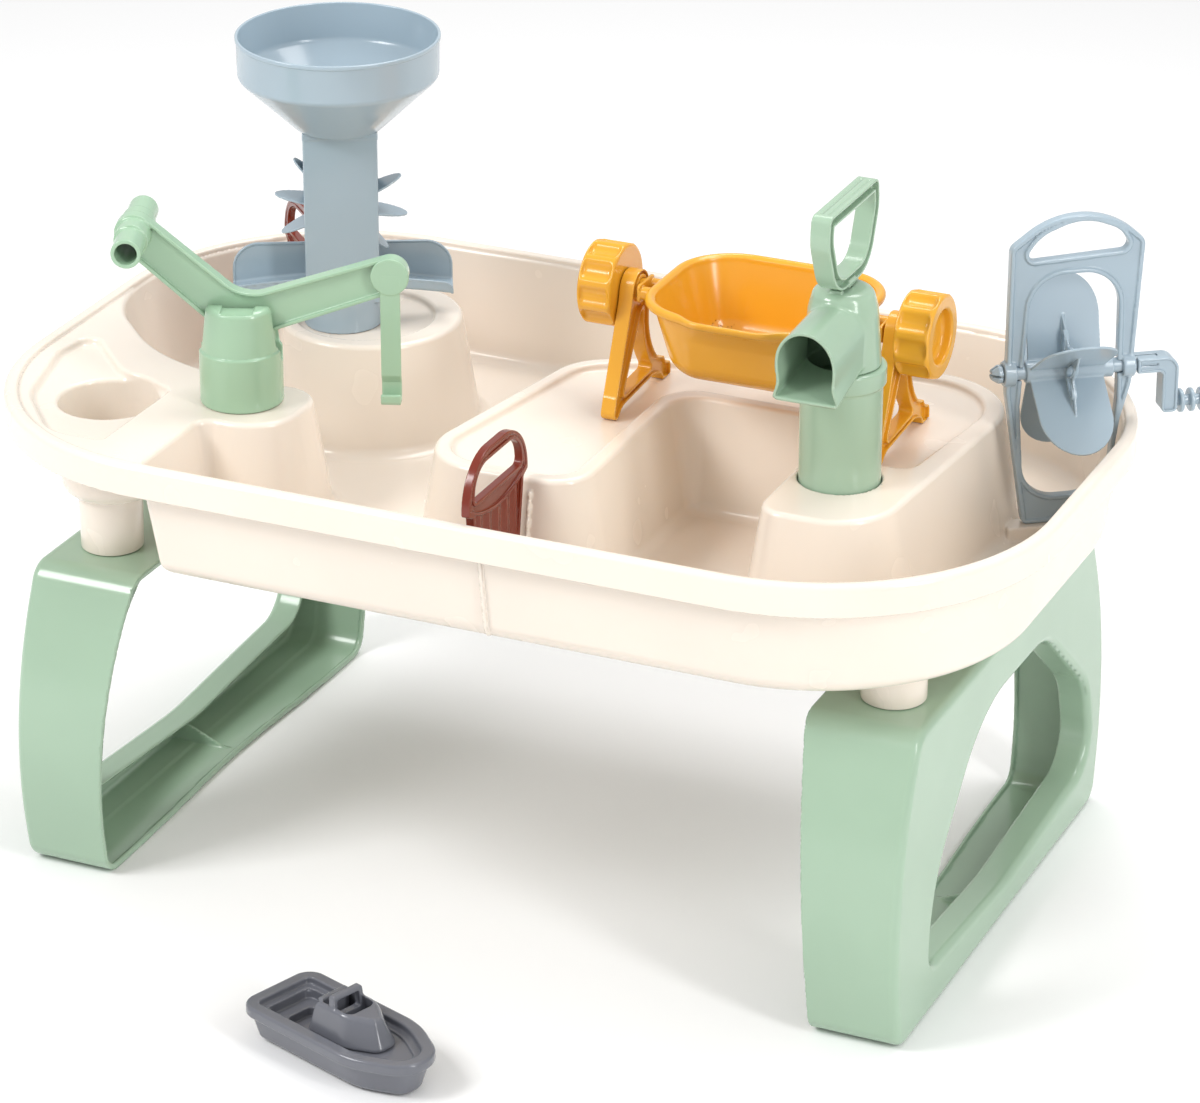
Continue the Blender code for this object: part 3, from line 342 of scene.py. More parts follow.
def mesh_of(name, points, faces, normals=None):
    """A mesh from arrays; all faces have the same number of corners."""
    corners = faces.shape[1]
    mesh = bpy.data.meshes.new(name)
    mesh.vertices.add(len(points))
    mesh.vertices.foreach_set("co", np.ascontiguousarray(points, np.float32).ravel())
    mesh.loops.add(faces.size)
    mesh.loops.foreach_set("vertex_index", np.ascontiguousarray(faces, np.int32).ravel())
    mesh.polygons.add(len(faces))
    mesh.polygons.foreach_set("loop_start", np.arange(0, faces.size, corners, dtype=np.int32))
    mesh.update(calc_edges=True)
    mesh.validate()
    mesh.shade_smooth()
    if normals is not None:
        mesh.normals_split_custom_set_from_vertices(normals.tolist())
    return mesh


def link(name, data):
    """A new object in the scene for a mesh, a lamp or a camera."""
    made = bpy.data.objects.new(name, data)
    bpy.context.scene.collection.objects.link(made)
    return made


def points_of(mesh):
    """Vertices as an array."""
    flat = np.zeros(len(mesh.vertices) * 3)
    mesh.vertices.foreach_get("co", flat)
    return flat.reshape(-1, 3)


def corners_of(mesh):
    """Triangles as an array."""
    mesh.calc_loop_triangles()
    flat = np.zeros(len(mesh.loop_triangles) * 3, np.int32)
    mesh.loop_triangles.foreach_get("vertices", flat)
    return flat.reshape(-1, 3)


def thinned(points, quads, share):
    """Fewer faces where the surface is flat."""
    raw = link("raw", mesh_of("raw", points, quads))
    modifier = raw.modifiers.new("thin", "DECIMATE")
    modifier.ratio = share
    bpy.context.view_layer.update()
    graph = bpy.context.evaluated_depsgraph_get()
    mesh = bpy.data.meshes.new_from_object(raw.evaluated_get(graph))
    bpy.data.objects.remove(raw)
    return points_of(mesh), corners_of(mesh)


def unit(vectors):
    """Vectors scaled to length one."""
    return vectors / np.maximum(np.linalg.norm(vectors, axis=1), 1e-12)[:, None]


def face_normals(points, faces):
    """Each point's normal as the mean of the faces around it."""
    ring = [points[faces[:, k]] for k in range(faces.shape[1])]
    flat = np.cross(ring[1] - ring[0], ring[-1] - ring[0])
    total = np.zeros_like(points)
    for k in range(faces.shape[1]):
        np.add.at(total, faces[:, k], flat)
    return unit(total)


def smooth_normals(shape, points, faces):
    """The distance's own normals, or the faces' where a crease makes the two disagree."""
    own = unit(slope(shape, points))
    mean = face_normals(points, faces)
    astray = (own * mean).sum(1) < CREASE_COSINE
    own[astray] = mean[astray]
    return own


def skin(name, shape, low, high, step, share=0.35):
    """The mesh of a distance's zero surface, with the distance's own smooth normals."""
    points, faces = zero_surface(shape, low, high, step)
    points, faces = thinned(points, faces, share)
    points = settle(shape, points, step * SETTLE_SHARE)
    return mesh_of(name, points, faces, smooth_normals(shape, points, faces))


def lathe(name, profile, count=96):
    """A turned piece from a closed (radius, height, fillet) profile, anticlockwise."""
    line = fillet_points(profile, ARC_STEPS)
    turns = 2 * math.pi * np.arange(count) / count
    radius, height = np.array(line).T
    points = np.stack([
        np.outer(np.cos(turns), radius), np.outer(np.sin(turns), radius),
        np.broadcast_to(height, (count, len(line))),
    ], 2).reshape(-1, 3)
    k, m = np.meshgrid(np.arange(count), np.arange(len(line)), indexing="ij")
    after_k, after_m = (k + 1) % count, (m + 1) % len(line)
    near, ahead = k * len(line), after_k * len(line)
    ring = [near + m, ahead + m, ahead + after_m, near + after_m]
    quads = np.stack([corner.ravel() for corner in ring], 1)
    field = Outline(profile)

    def turned(x, y, z):
        return field(np.hypot(x, y), z)

    return mesh_of(name, points, quads, smooth_normals(turned, points, quads))


def fillet_points(corners, steps):
    """Points along a filleted outline."""
    outline = Outline(corners)
    result = []
    for centre, radius, way, spread, side in outline.arcs:
        half = math.acos(min(spread, 1.0)) * side
        for k in range(steps + 1):
            turn = Matrix.Rotation(half * (2 * k / steps - 1), 2)
            spot = centre + turn @ way * radius
            result.append((spot.x, spot.y))
    return result


# ---------------------------------------------------------------- materials
def fill(node, values):
    """Set a node's inputs by name."""
    for name, value in values.items():
        node.inputs[name].default_value = value


def plastic(name, colour, roughness=0.24, shade=0.82, grain=0.02):
    """Glossy moulded plastic: drifting tint, paler rubbed edges, painted shade in the creases, fine grain
    and flow marks.
    """
    made = bpy.data.materials.new(name)
    made.use_nodes = True
    nodes, links = made.node_tree.nodes, made.node_tree.links
    shader = nodes["Principled BSDF"]
    place = nodes.new("ShaderNodeTexCoord")

    def noise(scale, detail):
        texture = nodes.new("ShaderNodeTexNoise")
        fill(texture, {"Scale": scale, "Detail": detail})
        links.new(place.outputs["Object"], texture.inputs["Vector"])
        return texture

    def ramp(source, low, high, first, last):
        between = nodes.new("ShaderNodeMapRange")
        fill(between, {"From Min": low, "From Max": high, "To Min": first, "To Max": last})
        links.new(source, between.inputs["Value"])
        return between.outputs["Result"]

    def mix(factor, a, b):
        blend = nodes.new("ShaderNodeMix")
        blend.data_type = "RGBA"
        links.new(factor, blend.inputs["Factor"])
        for socket, value in (("A", a), ("B", b)):
            target = [s for s in blend.inputs if s.name == socket and s.type == "RGBA"][0]
            if isinstance(value, tuple):
                target.default_value = value
            else:
                links.new(value, target)
        return [s for s in blend.outputs if s.type == "RGBA"][0]

    # deep serves both the random tint drift and the painted shade in creases
    deep = tuple(c * shade for c in colour) + (1.0,)
    full = tuple(colour) + (1.0,)
    worn = tuple(c + (1.0 - c) * 0.22 for c in colour) + (1.0,)
    drift = ramp(noise(9.0, 2.0).outputs["Fac"], 0.35, 0.65, 0.0, 1.0)
    tint = mix(drift, tuple((a + 3 * b) / 4 for a, b in zip(deep, full)), full)
    geometry = nodes.new("ShaderNodeNewGeometry")
    edge = ramp(geometry.outputs["Pointiness"], 0.56, 0.70, 0.0, 0.5)
    tint = mix(edge, tint, worn)
    # painted shade: hollows and inner corners are darkened towards the deep colour
    crease = ramp(geometry.outputs["Pointiness"], 0.45, 0.34, 0.0, 0.6)
    tint = mix(crease, tint, deep)
    links.new(tint, shader.inputs["Base Color"])

    smears = ramp(noise(22.0, 2.0).outputs["Fac"], 0.3, 0.7, roughness - 0.03, roughness + 0.03)
    links.new(smears, shader.inputs["Roughness"])
    fill(shader, {
        "IOR": 1.49, "Coat Weight": 0.25, "Coat Roughness": 0.12, "Subsurface Weight": 0.12,
        "Subsurface Radius": (0.006, 0.005, 0.004), "Subsurface Scale": 0.6,
    })

    waves = nodes.new("ShaderNodeBump")
    fill(waves, {"Strength": 0.06, "Distance": 0.0010})
    links.new(noise(16.0, 1.0).outputs["Fac"], waves.inputs["Height"])
    pores = nodes.new("ShaderNodeBump")
    fill(pores, {"Strength": grain, "Distance": 0.0002})
    links.new(noise(420.0, 2.0).outputs["Fac"], pores.inputs["Height"])
    links.new(waves.outputs["Normal"], pores.inputs["Normal"])
    links.new(pores.outputs["Normal"], shader.inputs["Normal"])
    return made


def srgb(red, green, blue):
    """Linear colour from 8-bit screen values."""
    return tuple(((v / 255 + 0.055) / 1.055) ** 2.4 for v in (red, green, blue))


PLASTICS = {
    "cream": plastic("cream_plastic", srgb(236, 225, 212), 0.25, 0.88),
    "sage": plastic("sage_plastic", srgb(160, 186, 162), 0.20),
    "mint": plastic("mint_plastic", srgb(160, 192, 163), 0.22),
    "blue": plastic("blue_grey_plastic", srgb(162, 179, 190), 0.22),
    "ochre": plastic("ochre_plastic", srgb(229, 166, 44), 0.21, 0.82),
    "terracotta": plastic("terracotta_plastic", srgb(116, 35, 12), 0.20),
    "grey": plastic("boat_grey_plastic", srgb(106, 108, 116), 0.20),
    "rubber": plastic("seal_rubber", srgb(44, 44, 48), 0.55, 0.8, 0.15),
}


def piece(name, mesh, place, body, slot, *nodes):
    """Show a mesh at a toy's frame, riding on its body, in its plastic, instead of CAD nodes."""
    made = link(name, mesh)
    made.matrix_world = TABLE @ place
    mesh.materials.append(PLASTICS[slot])
    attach(made, body)
    if nodes:
        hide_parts(*nodes)
    return made


# ---------------------------------------------------------------- tray
TRAY_EDGE = rounded(TRAY_HIGH.x, TRAY_HIGH.y, TRAY_CORNER)
CAVITY = Outline([
    (-0.218, -0.233, 0.012), (0.3825, -0.233, 0.165), (0.3825, 0.233, 0.165),
    (-0.3825, 0.233, 0.165), (-0.3825, 0.0275, 0.095), (-0.291, -0.064, 0.145),
    (-0.160, -0.064, 0.026), (-0.160, -0.141, 0.036), (-0.218, -0.141, 0.012),
])
ISLAND = Outline([
    (-0.060, -0.1425, 0.045), (0.0715, -0.1425, 0.030), (0.0715, 0.037, 0.022),
    (0.195, 0.037, 0.022), (0.195, -0.127, 0.020), (0.279, -0.127, 0.046),
    (0.299, 0.150, 0.066), (0.140, 0.150, 0.120), (-0.024, 0.066, 0.045),
])
ISLAND_POOL = Outline([
    (-0.048, -0.131, 0.034), (0.060, -0.131, 0.019), (0.060, 0.049, 0.030),
    (0.228, 0.049, 0.016), (0.228, -0.0225, 0.006), (0.268, -0.0225, 0.012),
    (0.287, 0.139, 0.055), (0.142, 0.139, 0.110), (-0.015, 0.059, 0.035),
])
PLATEAU_POOL = Outline([
    (-0.262, -0.204, 0.006), (-0.262, -0.103, 0.010), (-0.312, -0.087, 0.060),
    (-0.366, -0.030, 0.010), (-0.372, -0.075, 0.030), (-0.352, -0.150, 0.060),
    (-0.306, -0.204, 0.040),
])
TRAY_GRID = 0.0017
TRAY_SHARE = 0.45


def around(x, y, centre):
    """Distance in plan from a point."""
    return np.hypot(x - centre[0], y - centre[1])


def tray_block(x, y, z):
    """Everything below the tray's upper face, and the water space on its own."""
    edge = TRAY_EDGE(x, y)
    block = both(edge, z - RIM_Z, 0.0045)
    block = minus(block, both(edge + BEAD, ISLAND_Z - z), 0.002)
    hollow = both((CAVITY(x, y) + DRAFT * (RIM_Z - z)) * DRAFT_SCALE, FLOOR_Z - z, FLOOR_FILLET)
    island = ISLAND(x, y) + DRAFT * (z - ISLAND_Z)
    mill = around(x, y, MILL_CENTRE) - MILL_RADIUS + DRAFT * (z - ISLAND_Z)
    hollow = minus(hollow, union(island, mill) * DRAFT_SCALE, ISLAND_FILLET)
    block = minus(block, hollow, EDGE_ROUND)
    pools = union(union(ISLAND_POOL(x, y), PLATEAU_POOL(x, y)),
                  around(x, y, MILL_POOL) - MILL_POOL_RADIUS)
    block = minus(block, both(pools + 0.4 * (ISLAND_Z - z), RECESS_Z - z, 0.002), 0.002)
    cup = both(around(x, y, CUP_CENTRE) - CUP_RADIUS + 0.07 * (ISLAND_Z - z), CUP_FLOOR_Z - z, 0.007)
    block = minus(block, cup, 0.003)
    seat = both(around(x, y, PUMP_AXIS) - PUMP_RADIUS - 0.0008, PUMP_BASE_Z - GAP - z, 0.0003)
    return minus(block, seat, 0.0008), hollow


def tray_shape(x, y, z):
    """The moulded sheet with its skirt, ribs, spigots and the wheel frame's sill."""
    edge = TRAY_EDGE(x, y)
    block, hollow = tray_block(x, y, z)
    guide = both(np.abs(np.abs(x - GATE_FRONT_SPOT.x) - 0.0058) - 0.0011, z - 0.337)
    guide = both(both(guide, block - 0.0024), both(edge + BEAD + 0.0015, y + 0.10))
    sheet = both(union(block, guide, 0.0008), -(block + WALL))
    sheet = minus(sheet, both(-(edge + 0.0064), z - SKIRT_Z), 0.001)
    seam = both(both(hollow - WALL - 0.0022, WALL - 0.001 - hollow), np.abs(x - 0.042) - 0.0016)
    sheet = union(sheet, both(seam, both(y + 0.20, np.maximum(z - SKIRT_Z, FLOOR_Z - z))), 0.0006)

    crane_spigot = both(around(x, y, CRANE_AXIS) - SPIGOT_RADIUS,
                        band(z, RECESS_Z, ISLAND_Z + 0.012), 0.001)
    tower_spigot = both(around(x, y, TOWER_AXIS) - SPIGOT_RADIUS,
                        band(z, RECESS_Z - 0.002, ISLAND_Z + 0.008), 0.001)
    sheet = union(sheet, union(crane_spigot, tower_spigot))

    u, v = turned_about(x - PADDLE_SPOT.x, y - PADDLE_SPOT.y, joint_heading("paddle_spin"))
    sill = both(both(np.abs(u) - SILL_HALF_LENGTH, np.abs(v) - SILL_HALF_WIDTH, 0.002),
                band(z, FLOOR_Z - 0.001, SILL_Z), 0.0012)
    sill = both(sill, hollow - 0.0015)
    tab = both(both(np.abs(u + 0.002) - 0.006, np.abs(v + 0.0062) - 0.0012),
               band(z, SILL_Z - 0.001, SILL_Z + 0.0055), 0.0005)
    return union(sheet, union(sill, tab, 0.0006), 0.0015)


def make_tray():
    """One cream moulding and the four posts under it."""
    low = (TRAY_LOW.x, TRAY_LOW.y, FLOOR_Z - WALL)
    mesh = skin("tray_skin", tray_shape, low, TRAY_HIGH, TRAY_GRID, TRAY_SHARE)
    piece("tray_moulding", mesh, Matrix.Identity(4), "table", "cream", "tray")
    for x, y in itertools.product((-PEG_X, PEG_X), (-PEG_Y, PEG_Y)):
        top = (CUP_FLOOR_Z if x < 0 and y < 0 else FLOOR_Z) - 0.001
        stub_z, shoulder_z = LEG_TOP_Z - 0.0195, LEG_TOP_Z + GAP
        mesh = lathe("post_skin", [
            (0.0130, stub_z, 0.0005), (STUB_RADIUS, stub_z, 0.0020), (STUB_RADIUS, shoulder_z, 0.0004),
            (PEG_RADIUS, shoulder_z, 0.0012), (PEG_RADIUS + 0.0006, top, 0.0004), (0.0130, top, 0.0004),
        ])
        name = "tray_post_" + ("left" if x < 0 else "right") + ("_front" if y < 0 else "_back")
        piece(name, mesh, Matrix.Translation((x, y, 0.0)), "table", "cream")


# ---------------------------------------------------------------- legs
LEG_EDGE = Outline(mirrored([(0.204, 0.000, 0.018), (0.2262, 0.118, 0.300), (0.179, LEG_TOP_Z, 0.020)]))
LEG_HOLE = Outline([
    (-0.147, 0.035, 0.014), (0.010, 0.0245, 0.300), (0.196, 0.036, 0.030), (0.178, 0.105, 0.060),
    (0.080, 0.186, 0.070), (-0.052, 0.188, 0.110), (-0.143, 0.096, 0.100),
])
LEG_WALL = 0.0026
LEG_EDGE_ROUND = 0.006
LEG_FLANGE = 0.024
LEG_RIM = 0.0085
RIB_HALF = 0.0013
SOCKET_DEPTH = 0.026


def leg_shape(depth, y, z):
    """A channel-section ring with sockets and ribs; depth runs in from the outer panel."""
    edge = LEG_EDGE(y, z)
    hole = LEG_HOLE(y, z)
    rise = np.clip(z / LEG_TOP_Z, 0.0, 1.0)
    lip = 0.066 + 0.017 * rise ** 2 - 0.006 * np.exp(-(y / 0.10) ** 2) * (1 - rise)
    block = both(both(edge, -hole), -depth, LEG_EDGE_ROUND)
    sheet = both(block, -(block + LEG_WALL))
    outer = both(sheet, np.maximum(depth - lip, -(edge + LEG_RIM)), 0.0012)
    ring = union(outer, both(sheet, depth - LEG_FLANGE, 0.0012), 0.002)
    bead = both(edge, -(edge + 0.0045))
    ring = union(ring, both(bead, np.abs(depth - lip + 0.0016) - 0.0016, 0.0012), 0.001)

    panel_to_peg = LEG_PANEL_X - PEG_X
    post = np.hypot(np.abs(y) - PEG_Y, depth - panel_to_peg)
    socket = both(post - STUB_RADIUS - 0.003, band(z, LEG_TOP_Z - SOCKET_DEPTH, LEG_TOP_Z - 0.001), 0.001)
    ring = union(ring, socket, 0.002)
    inner = block + 0.001
    low_rib = both(np.abs(y - 0.006) - RIB_HALF, z + 0.42 * depth - 0.024)
    ring = union(ring, both(low_rib, np.maximum(depth - 0.052, inner)), 0.0015)
    high_rib = both(np.abs(np.abs(y) - PEG_Y + 0.030) - RIB_HALF, LEG_TOP_Z - z + 0.6 * depth - 0.036)
    ring = union(ring, both(high_rib, inner), 0.0015)
    ring = both(ring, block)
    return minus(ring, post - STUB_RADIUS - 0.0004 + np.where(z < LEG_TOP_Z - 0.030, 1.0, 0.0))


def make_legs():
    """Both leg frames come from one mould."""
    low = (0.0, LEG_LOW.y, LEG_LOW.z)
    high = (LEG_HIGH.x - LEG_LOW.x, LEG_HIGH.y, LEG_HIGH.z)
    right = skin("leg_skin", leg_shape, low, high, 0.0017, 0.3)
    points, faces = points_of(right), corners_of(right)
    for name, side in (("leg_left", -1), ("leg_right", 1)):
        placed = points * (-side, 1, 1) + (side * LEG_PANEL_X, 0, 0)
        ordered = faces[:, ::-1] if side > 0 else faces
        normals = smooth_normals(leg_shape, points, faces) * (-side, 1, 1)
        mesh = mesh_of(name + "_skin", placed, ordered, normals)
        piece(name + "_frame", mesh, Matrix.Identity(4), "table", "sage", name)


# ---------------------------------------------------------------- mill tower
FOOT_RADIUS = 0.0290
CHEEK_HALF = 0.0270
CHEEK_Y = 0.0165
CHEEK_TOP_Z = 0.4900
COLUMN_TOP_Z = 0.4925
TROUGH_HALF = 0.081
MILL_BLADE = 0.049
FUNNEL_RIM_Z = 0.5625
FUNNEL_RADIUS = 0.0744


def toy(node, shape, low, high, step, place, body, slot, share=0.35):
    """Show one CAD node as a moulded skin."""
    mesh = skin(node + "_skin", shape, low, high, step, share)
    return piece(node + "_moulding", mesh, place, body, slot, node)


def tongue(out, aside, straight, tip, half):
    """Distance in a plane to a strip with an elliptic end."""
    return (np.hypot(np.maximum(out - straight, 0.0) / (tip - straight), aside / half) - 1.0) * half


def column_shape(x, y, z):
    """Two cheeks on a round foot, tied by a cap."""
    far = np.hypot(x, y)
    foot = both(far - FOOT_RADIUS, band(z, RECESS_Z + GAP, 0.3640), 0.0012)
    foot = union(foot, both(far - FOOT_RADIUS, band(z, RECESS_Z + GAP, 0.3440)))
    cheek = both(both(np.abs(x) - CHEEK_HALF, np.abs(np.abs(y) - CHEEK_Y) - 0.0014, 0.0008),
                 band(z, 0.3600, CHEEK_TOP_Z))
    lip = both(both(np.abs(np.abs(x) - CHEEK_HALF + 0.0012) - 0.0012, np.abs(y) - CHEEK_Y),
               both(0.0128 - np.abs(y), band(z, 0.4060, 0.4870)))
    cap = both(both(np.abs(x) - CHEEK_HALF - 0.0004, np.abs(y) - 0.0182, 0.0010),
               band(z, 0.4870, COLUMN_TOP_Z), 0.0006)
    body = union(union(union(foot, cheek, 0.0008), lip, 0.0006), cap, 0.0008)
    body = minus(body, both(far - 0.0117, z - ISLAND_Z - 0.0095))
    body = minus(body, both(far - 0.0118, 0.480 - z))
    return minus(body, both(np.hypot(x, z - WHEEL_Z) - 0.0040, np.abs(y) - 0.0168))


def trough_shape(x, y, z):
    """A gutter that falls to both open ends, its back wall high and its front lip low."""
    along = np.abs(x)
    floor = 0.3705 - 0.006 * (x / TROUGH_HALF) ** 2
    block = both(np.abs(y) - 0.0148, floor - z, 0.0030)
    gutter = minus(block, both(np.abs(y) - 0.0134, floor + 0.0015 - z, 0.0020))
    back = both(z - 0.3970, along - TROUGH_HALF, 0.0200)
    front = both(z - floor - 0.0090, along - TROUGH_HALF, 0.0060)
    edge = np.where(y > 0, back, front)
    rim = both(gutter - 0.0005, np.abs(edge + 0.0008) - 0.0008)
    return union(both(gutter, edge, 0.0004), both(rim, np.abs(y) - 0.0150), 0.0004)


def mill_wheel_shape(x, y, z):
    """Ten leaf-shaped blades on a hub and its axle."""
    far = np.hypot(x, z - WHEEL_Z)
    out, off = fan(x, z - WHEEL_Z, 10, math.radians(-10))
    leaf = both(tongue(out, y, 0.018, MILL_BLADE, 0.0136), np.abs(off) - 0.0008, 0.0003)
    leaf = both(leaf, 0.004 - out)
    hub = both(far - 0.0075, np.abs(y) - 0.0125, 0.0008)
    axle = both(far - 0.0036, np.abs(y) - 0.0164, 0.0008)
    return union(union(hub, leaf, 0.0012), axle)


def make_tower():
    """Column, trough, mill wheel and funnel."""
    toy("tower_column", column_shape, (-FOOT_RADIUS, -FOOT_RADIUS, RECESS_Z),
        (FOOT_RADIUS, FOOT_RADIUS, COLUMN_TOP_Z), 0.0011, TOWER, "tower", "blue")
    toy("mill_trough", trough_shape, (-TROUGH_HALF, -0.015, 0.354), (TROUGH_HALF, 0.015, 0.4025), 0.0008,
        TOWER, "tower", "blue")
    toy("mill_wheel", mill_wheel_shape, (-MILL_BLADE, -0.019, WHEEL_Z - MILL_BLADE),
        (MILL_BLADE, 0.019, WHEEL_Z + MILL_BLADE), 0.0008, TOWER, "mill_wheel", "blue")
    mesh = lathe("funnel_skin", [
        (0.0113, 0.4830, 0.0003), (0.0114, 0.4928, 0.0005), (0.0320, 0.4928, 0.0008),
        (0.0732, 0.5325, 0.0060), (0.0736, 0.5590, 0.0004), (FUNNEL_RADIUS, 0.5596, 0.0003),
        (FUNNEL_RADIUS, FUNNEL_RIM_Z, 0.0009), (0.0722, FUNNEL_RIM_Z, 0.0009), (0.0712, 0.5345, 0.0060),
        (0.0300, 0.4955, 0.0030), (0.0095, 0.4945, 0.0010), (0.0090, 0.4830, 0.0003),
    ], 144)
    piece("funnel_moulding", mesh, TOWER, "tower", "blue", "funnel")


# ---------------------------------------------------------------- crane
CRANE_RADIUS = 0.0296
CRANE_STEP_Z = 0.3855
CRANE_TOP_Z = 0.4185
ARM_HUB = (0.0, ARM_Z + 0.0025)
ARM_HOOK = (HOOK_SPOT.x, HOOK_SPOT.z)
ARM_TUBE = (-0.072, 0.470)


def crane_post_shape(x, y, z):
    """A slotted cone that steps in from a round base."""
    base_z = ISLAND_Z + GAP
    far = np.hypot(x, y)
    base = both(far - CRANE_RADIUS, band(z, base_z, CRANE_STEP_Z), 0.0012)
    taper = 0.110 * np.maximum(z - CRANE_STEP_Z - GAP, 0.0)
    cone = both(far - 0.0282 + taper, band(z, base_z, CRANE_TOP_Z), 0.0040)
    post = union(cone, base, 0.0006)
    saddle = both(np.abs(x) - 0.0115, both(0.4168 - z, np.abs(y + 0.010) - 0.0125, 0.001), 0.001)
    post = minus(post, saddle, 0.0006)
    slot = both(np.abs(y) - 0.0056, 0.3765 - z, 0.0050)
    mouth = both(np.abs(y) - 0.0086, both(0.3880 - z, 0.0230 - np.abs(x)), 0.002)
    post = minus(post, union(slot, mouth, 0.002), 0.0010)
    post = minus(post, both(far - 0.0117, z - ISLAND_Z - 0.0135))
    return minus(post, both(np.hypot(x, z - ARM_Z) - 0.0046, np.abs(y) - 0.0160))


def arm_shape(x, y, z):
    """Two webbed bars in an open V, with a cross tube, a pin and the hook's hole."""
    flat = union(bar(x, z, ARM_HUB, ARM_HOOK, 0.0150, 0.0130), bar(x, z, ARM_HUB, ARM_TUBE, 0.0152, 0.0140),
                 0.0120)
    arm = both(flat, np.abs(y) - 0.0050, 0.0007)
    arm = minus(arm, both(flat + 0.0026, 0.0018 - np.abs(y), 0.0008), 0.0005)
    end = np.hypot(x - ARM_TUBE[0], z - ARM_TUBE[1])
    sleeve = both(end - 0.0122, np.abs(y) - 0.0200, 0.0008)
    tube = union(sleeve, both(end - 0.0106, np.abs(y) - 0.0450, 0.0006), 0.0008)
    arm = minus(union(arm, tube, 0.0012), end - 0.0078, 0.0006)
    pivot = np.hypot(x, z - ARM_Z)
    arm = union(arm, both(pivot - 0.0042, np.abs(y) - 0.0150, 0.0006))
    eye = np.hypot(x - ARM_HOOK[0], z - ARM_HOOK[1])
    return minus(union(arm, both(eye - 0.0075, np.abs(y) - 0.0050)), eye - 0.0046)


def hook_shape(x, y, z):
    """A disc and a strap that bends back and then forward into a lip; v runs towards the front."""
    u, v, w = x - HOOK_SPOT.x, -y, z - HOOK_SPOT.z
    disc = both(np.hypot(u, w) - 0.0135, band(v, 0.0053, 0.0083), 0.0007)
    run = path(v, w, [(0.0066, 0.0), (0.0066, -0.0740), (0.0034, -0.0800), (0.0034, -0.0905),
                      (0.0050, -0.0935), (0.0115, -0.0935), (0.0128, -0.0920), (0.0128, -0.0880)])
    strap = both(run - 0.0013, np.abs(u) - 0.0070, 0.0006)
    pin = both(np.hypot(u, w) - 0.0041, band(v, -0.0080, 0.0063))
    return union(union(disc, strap, 0.0008), pin)


def make_crane():
    """Post, arm and hook."""
    toy("crane_post", crane_post_shape, (-0.030, -0.030, ISLAND_Z), (0.030, 0.030, CRANE_TOP_Z), 0.0011,
        CRANE, "crane", "mint")
    toy("crane_arm", arm_shape, (-0.086, -0.045, 0.3915), (0.120, 0.045, 0.484), 0.0010,
        CRANE, "arm", "mint")
    toy("crane_hook", hook_shape, (HOOK_SPOT.x - 0.0135, -0.0143, HOOK_SPOT.z - 0.0950),
        (HOOK_SPOT.x + 0.0135, 0.008, HOOK_SPOT.z + 0.0135), 0.0008, CRANE, "hook", "mint")


# ---------------------------------------------------------------- pump
PUMP_HEAD_Z = 0.485
GRIP_HALF = 0.0070
GRIP_TOP_Z = 0.5490
BELL = Outline(mirrored([
    (0.0258, 0.4180, 0.0003), (0.0258, 0.4303, 0.0002), (0.0268, 0.4303, 0.0006),
    (0.0240, 0.4700, 0.0300), (0.0200, PUMP_HEAD_Z, 0.0075),
]))
SPOUT_START_Z = 0.4360
SPOUT_LENGTH = 0.068
SPOUT_LEAN = math.radians(10)
SPOUT = Outline(mirrored([(0.0215, 0.0, 0.0030), (0.0215, 0.0435, 0.0213)]))
GRIP = Outline(mirrored([(0.0300, 0.4885, 0.028), (0.0470, 0.5300, 0.030), (0.0440, GRIP_TOP_Z, 0.006)]))



def head_shape(x, y, z):
    """A hollow bell with an arched spout whose lower corners flare at the mouth."""
    far = np.hypot(x, y)
    bell = BELL(far, z)
    out = -y * math.cos(SPOUT_LEAN) - (z - SPOUT_START_Z) * math.sin(SPOUT_LEAN)
    up = (z - SPOUT_START_Z) * math.cos(SPOUT_LEAN) - y * math.sin(SPOUT_LEAN)
    reach = np.clip(out / SPOUT_LENGTH, 0.0, 1.0)
    waist = 0.0010 * np.exp(-((up - 0.0140) / 0.0065) ** 2) - 0.0022 * np.exp(-((up - 0.001) / 0.0070) ** 2)
    section = SPOUT(np.abs(x) + reach ** 2 * waist, up / (1.0 + 0.22 * reach))
    mouth = out - SPOUT_LENGTH + 0.10 * up
    block = union(bell, both(section, np.maximum(mouth, -out)), 0.0020)
    room = union(bell + 0.0022, both(section + 0.0020, 0.010 - out), 0.0010)
    guide = both(both(np.abs(x) - 0.0045, np.abs(np.abs(y) - 0.0135) - 0.0022, 0.0008),
                 band(z, 0.480, PUMP_HEAD_Z + 0.0020), 0.0006)
    head = minus(union(block, guide, 0.0006), room, 0.0008)
    head = minus(head, both(far - 0.0236, z - 0.4250))
    return minus(head, both(far - 0.0052, 0.470 - z))


def handle_shape(x, y, z):
    """A D-shaped grip of I-section on the pump rod."""
    grip = GRIP(y, z)
    ring = both(both(grip, -(grip + 0.0085)), np.abs(x) - GRIP_HALF, 0.0007)
    ring = minus(ring, both(both(grip + 0.0018, -(grip + 0.0067)), 0.0020 - np.abs(x), 0.0008), 0.0004)
    grooves = both(np.abs(np.abs(x) - 0.0028) - 0.0008, both(GRIP_TOP_Z - 0.0007 - z, np.abs(y) - 0.0370))
    ring = minus(ring, grooves, 0.0003)
    rod = both(np.hypot(x, y) - 0.0048, band(z, 0.3680, 0.4905), 0.0006)
    plate = both(both(np.abs(x) - 0.0064, np.abs(y) - 0.0060, 0.001), band(z, 0.4865, 0.4920), 0.0006)
    return union(ring, union(rod, plate, 0.0006), 0.0008)


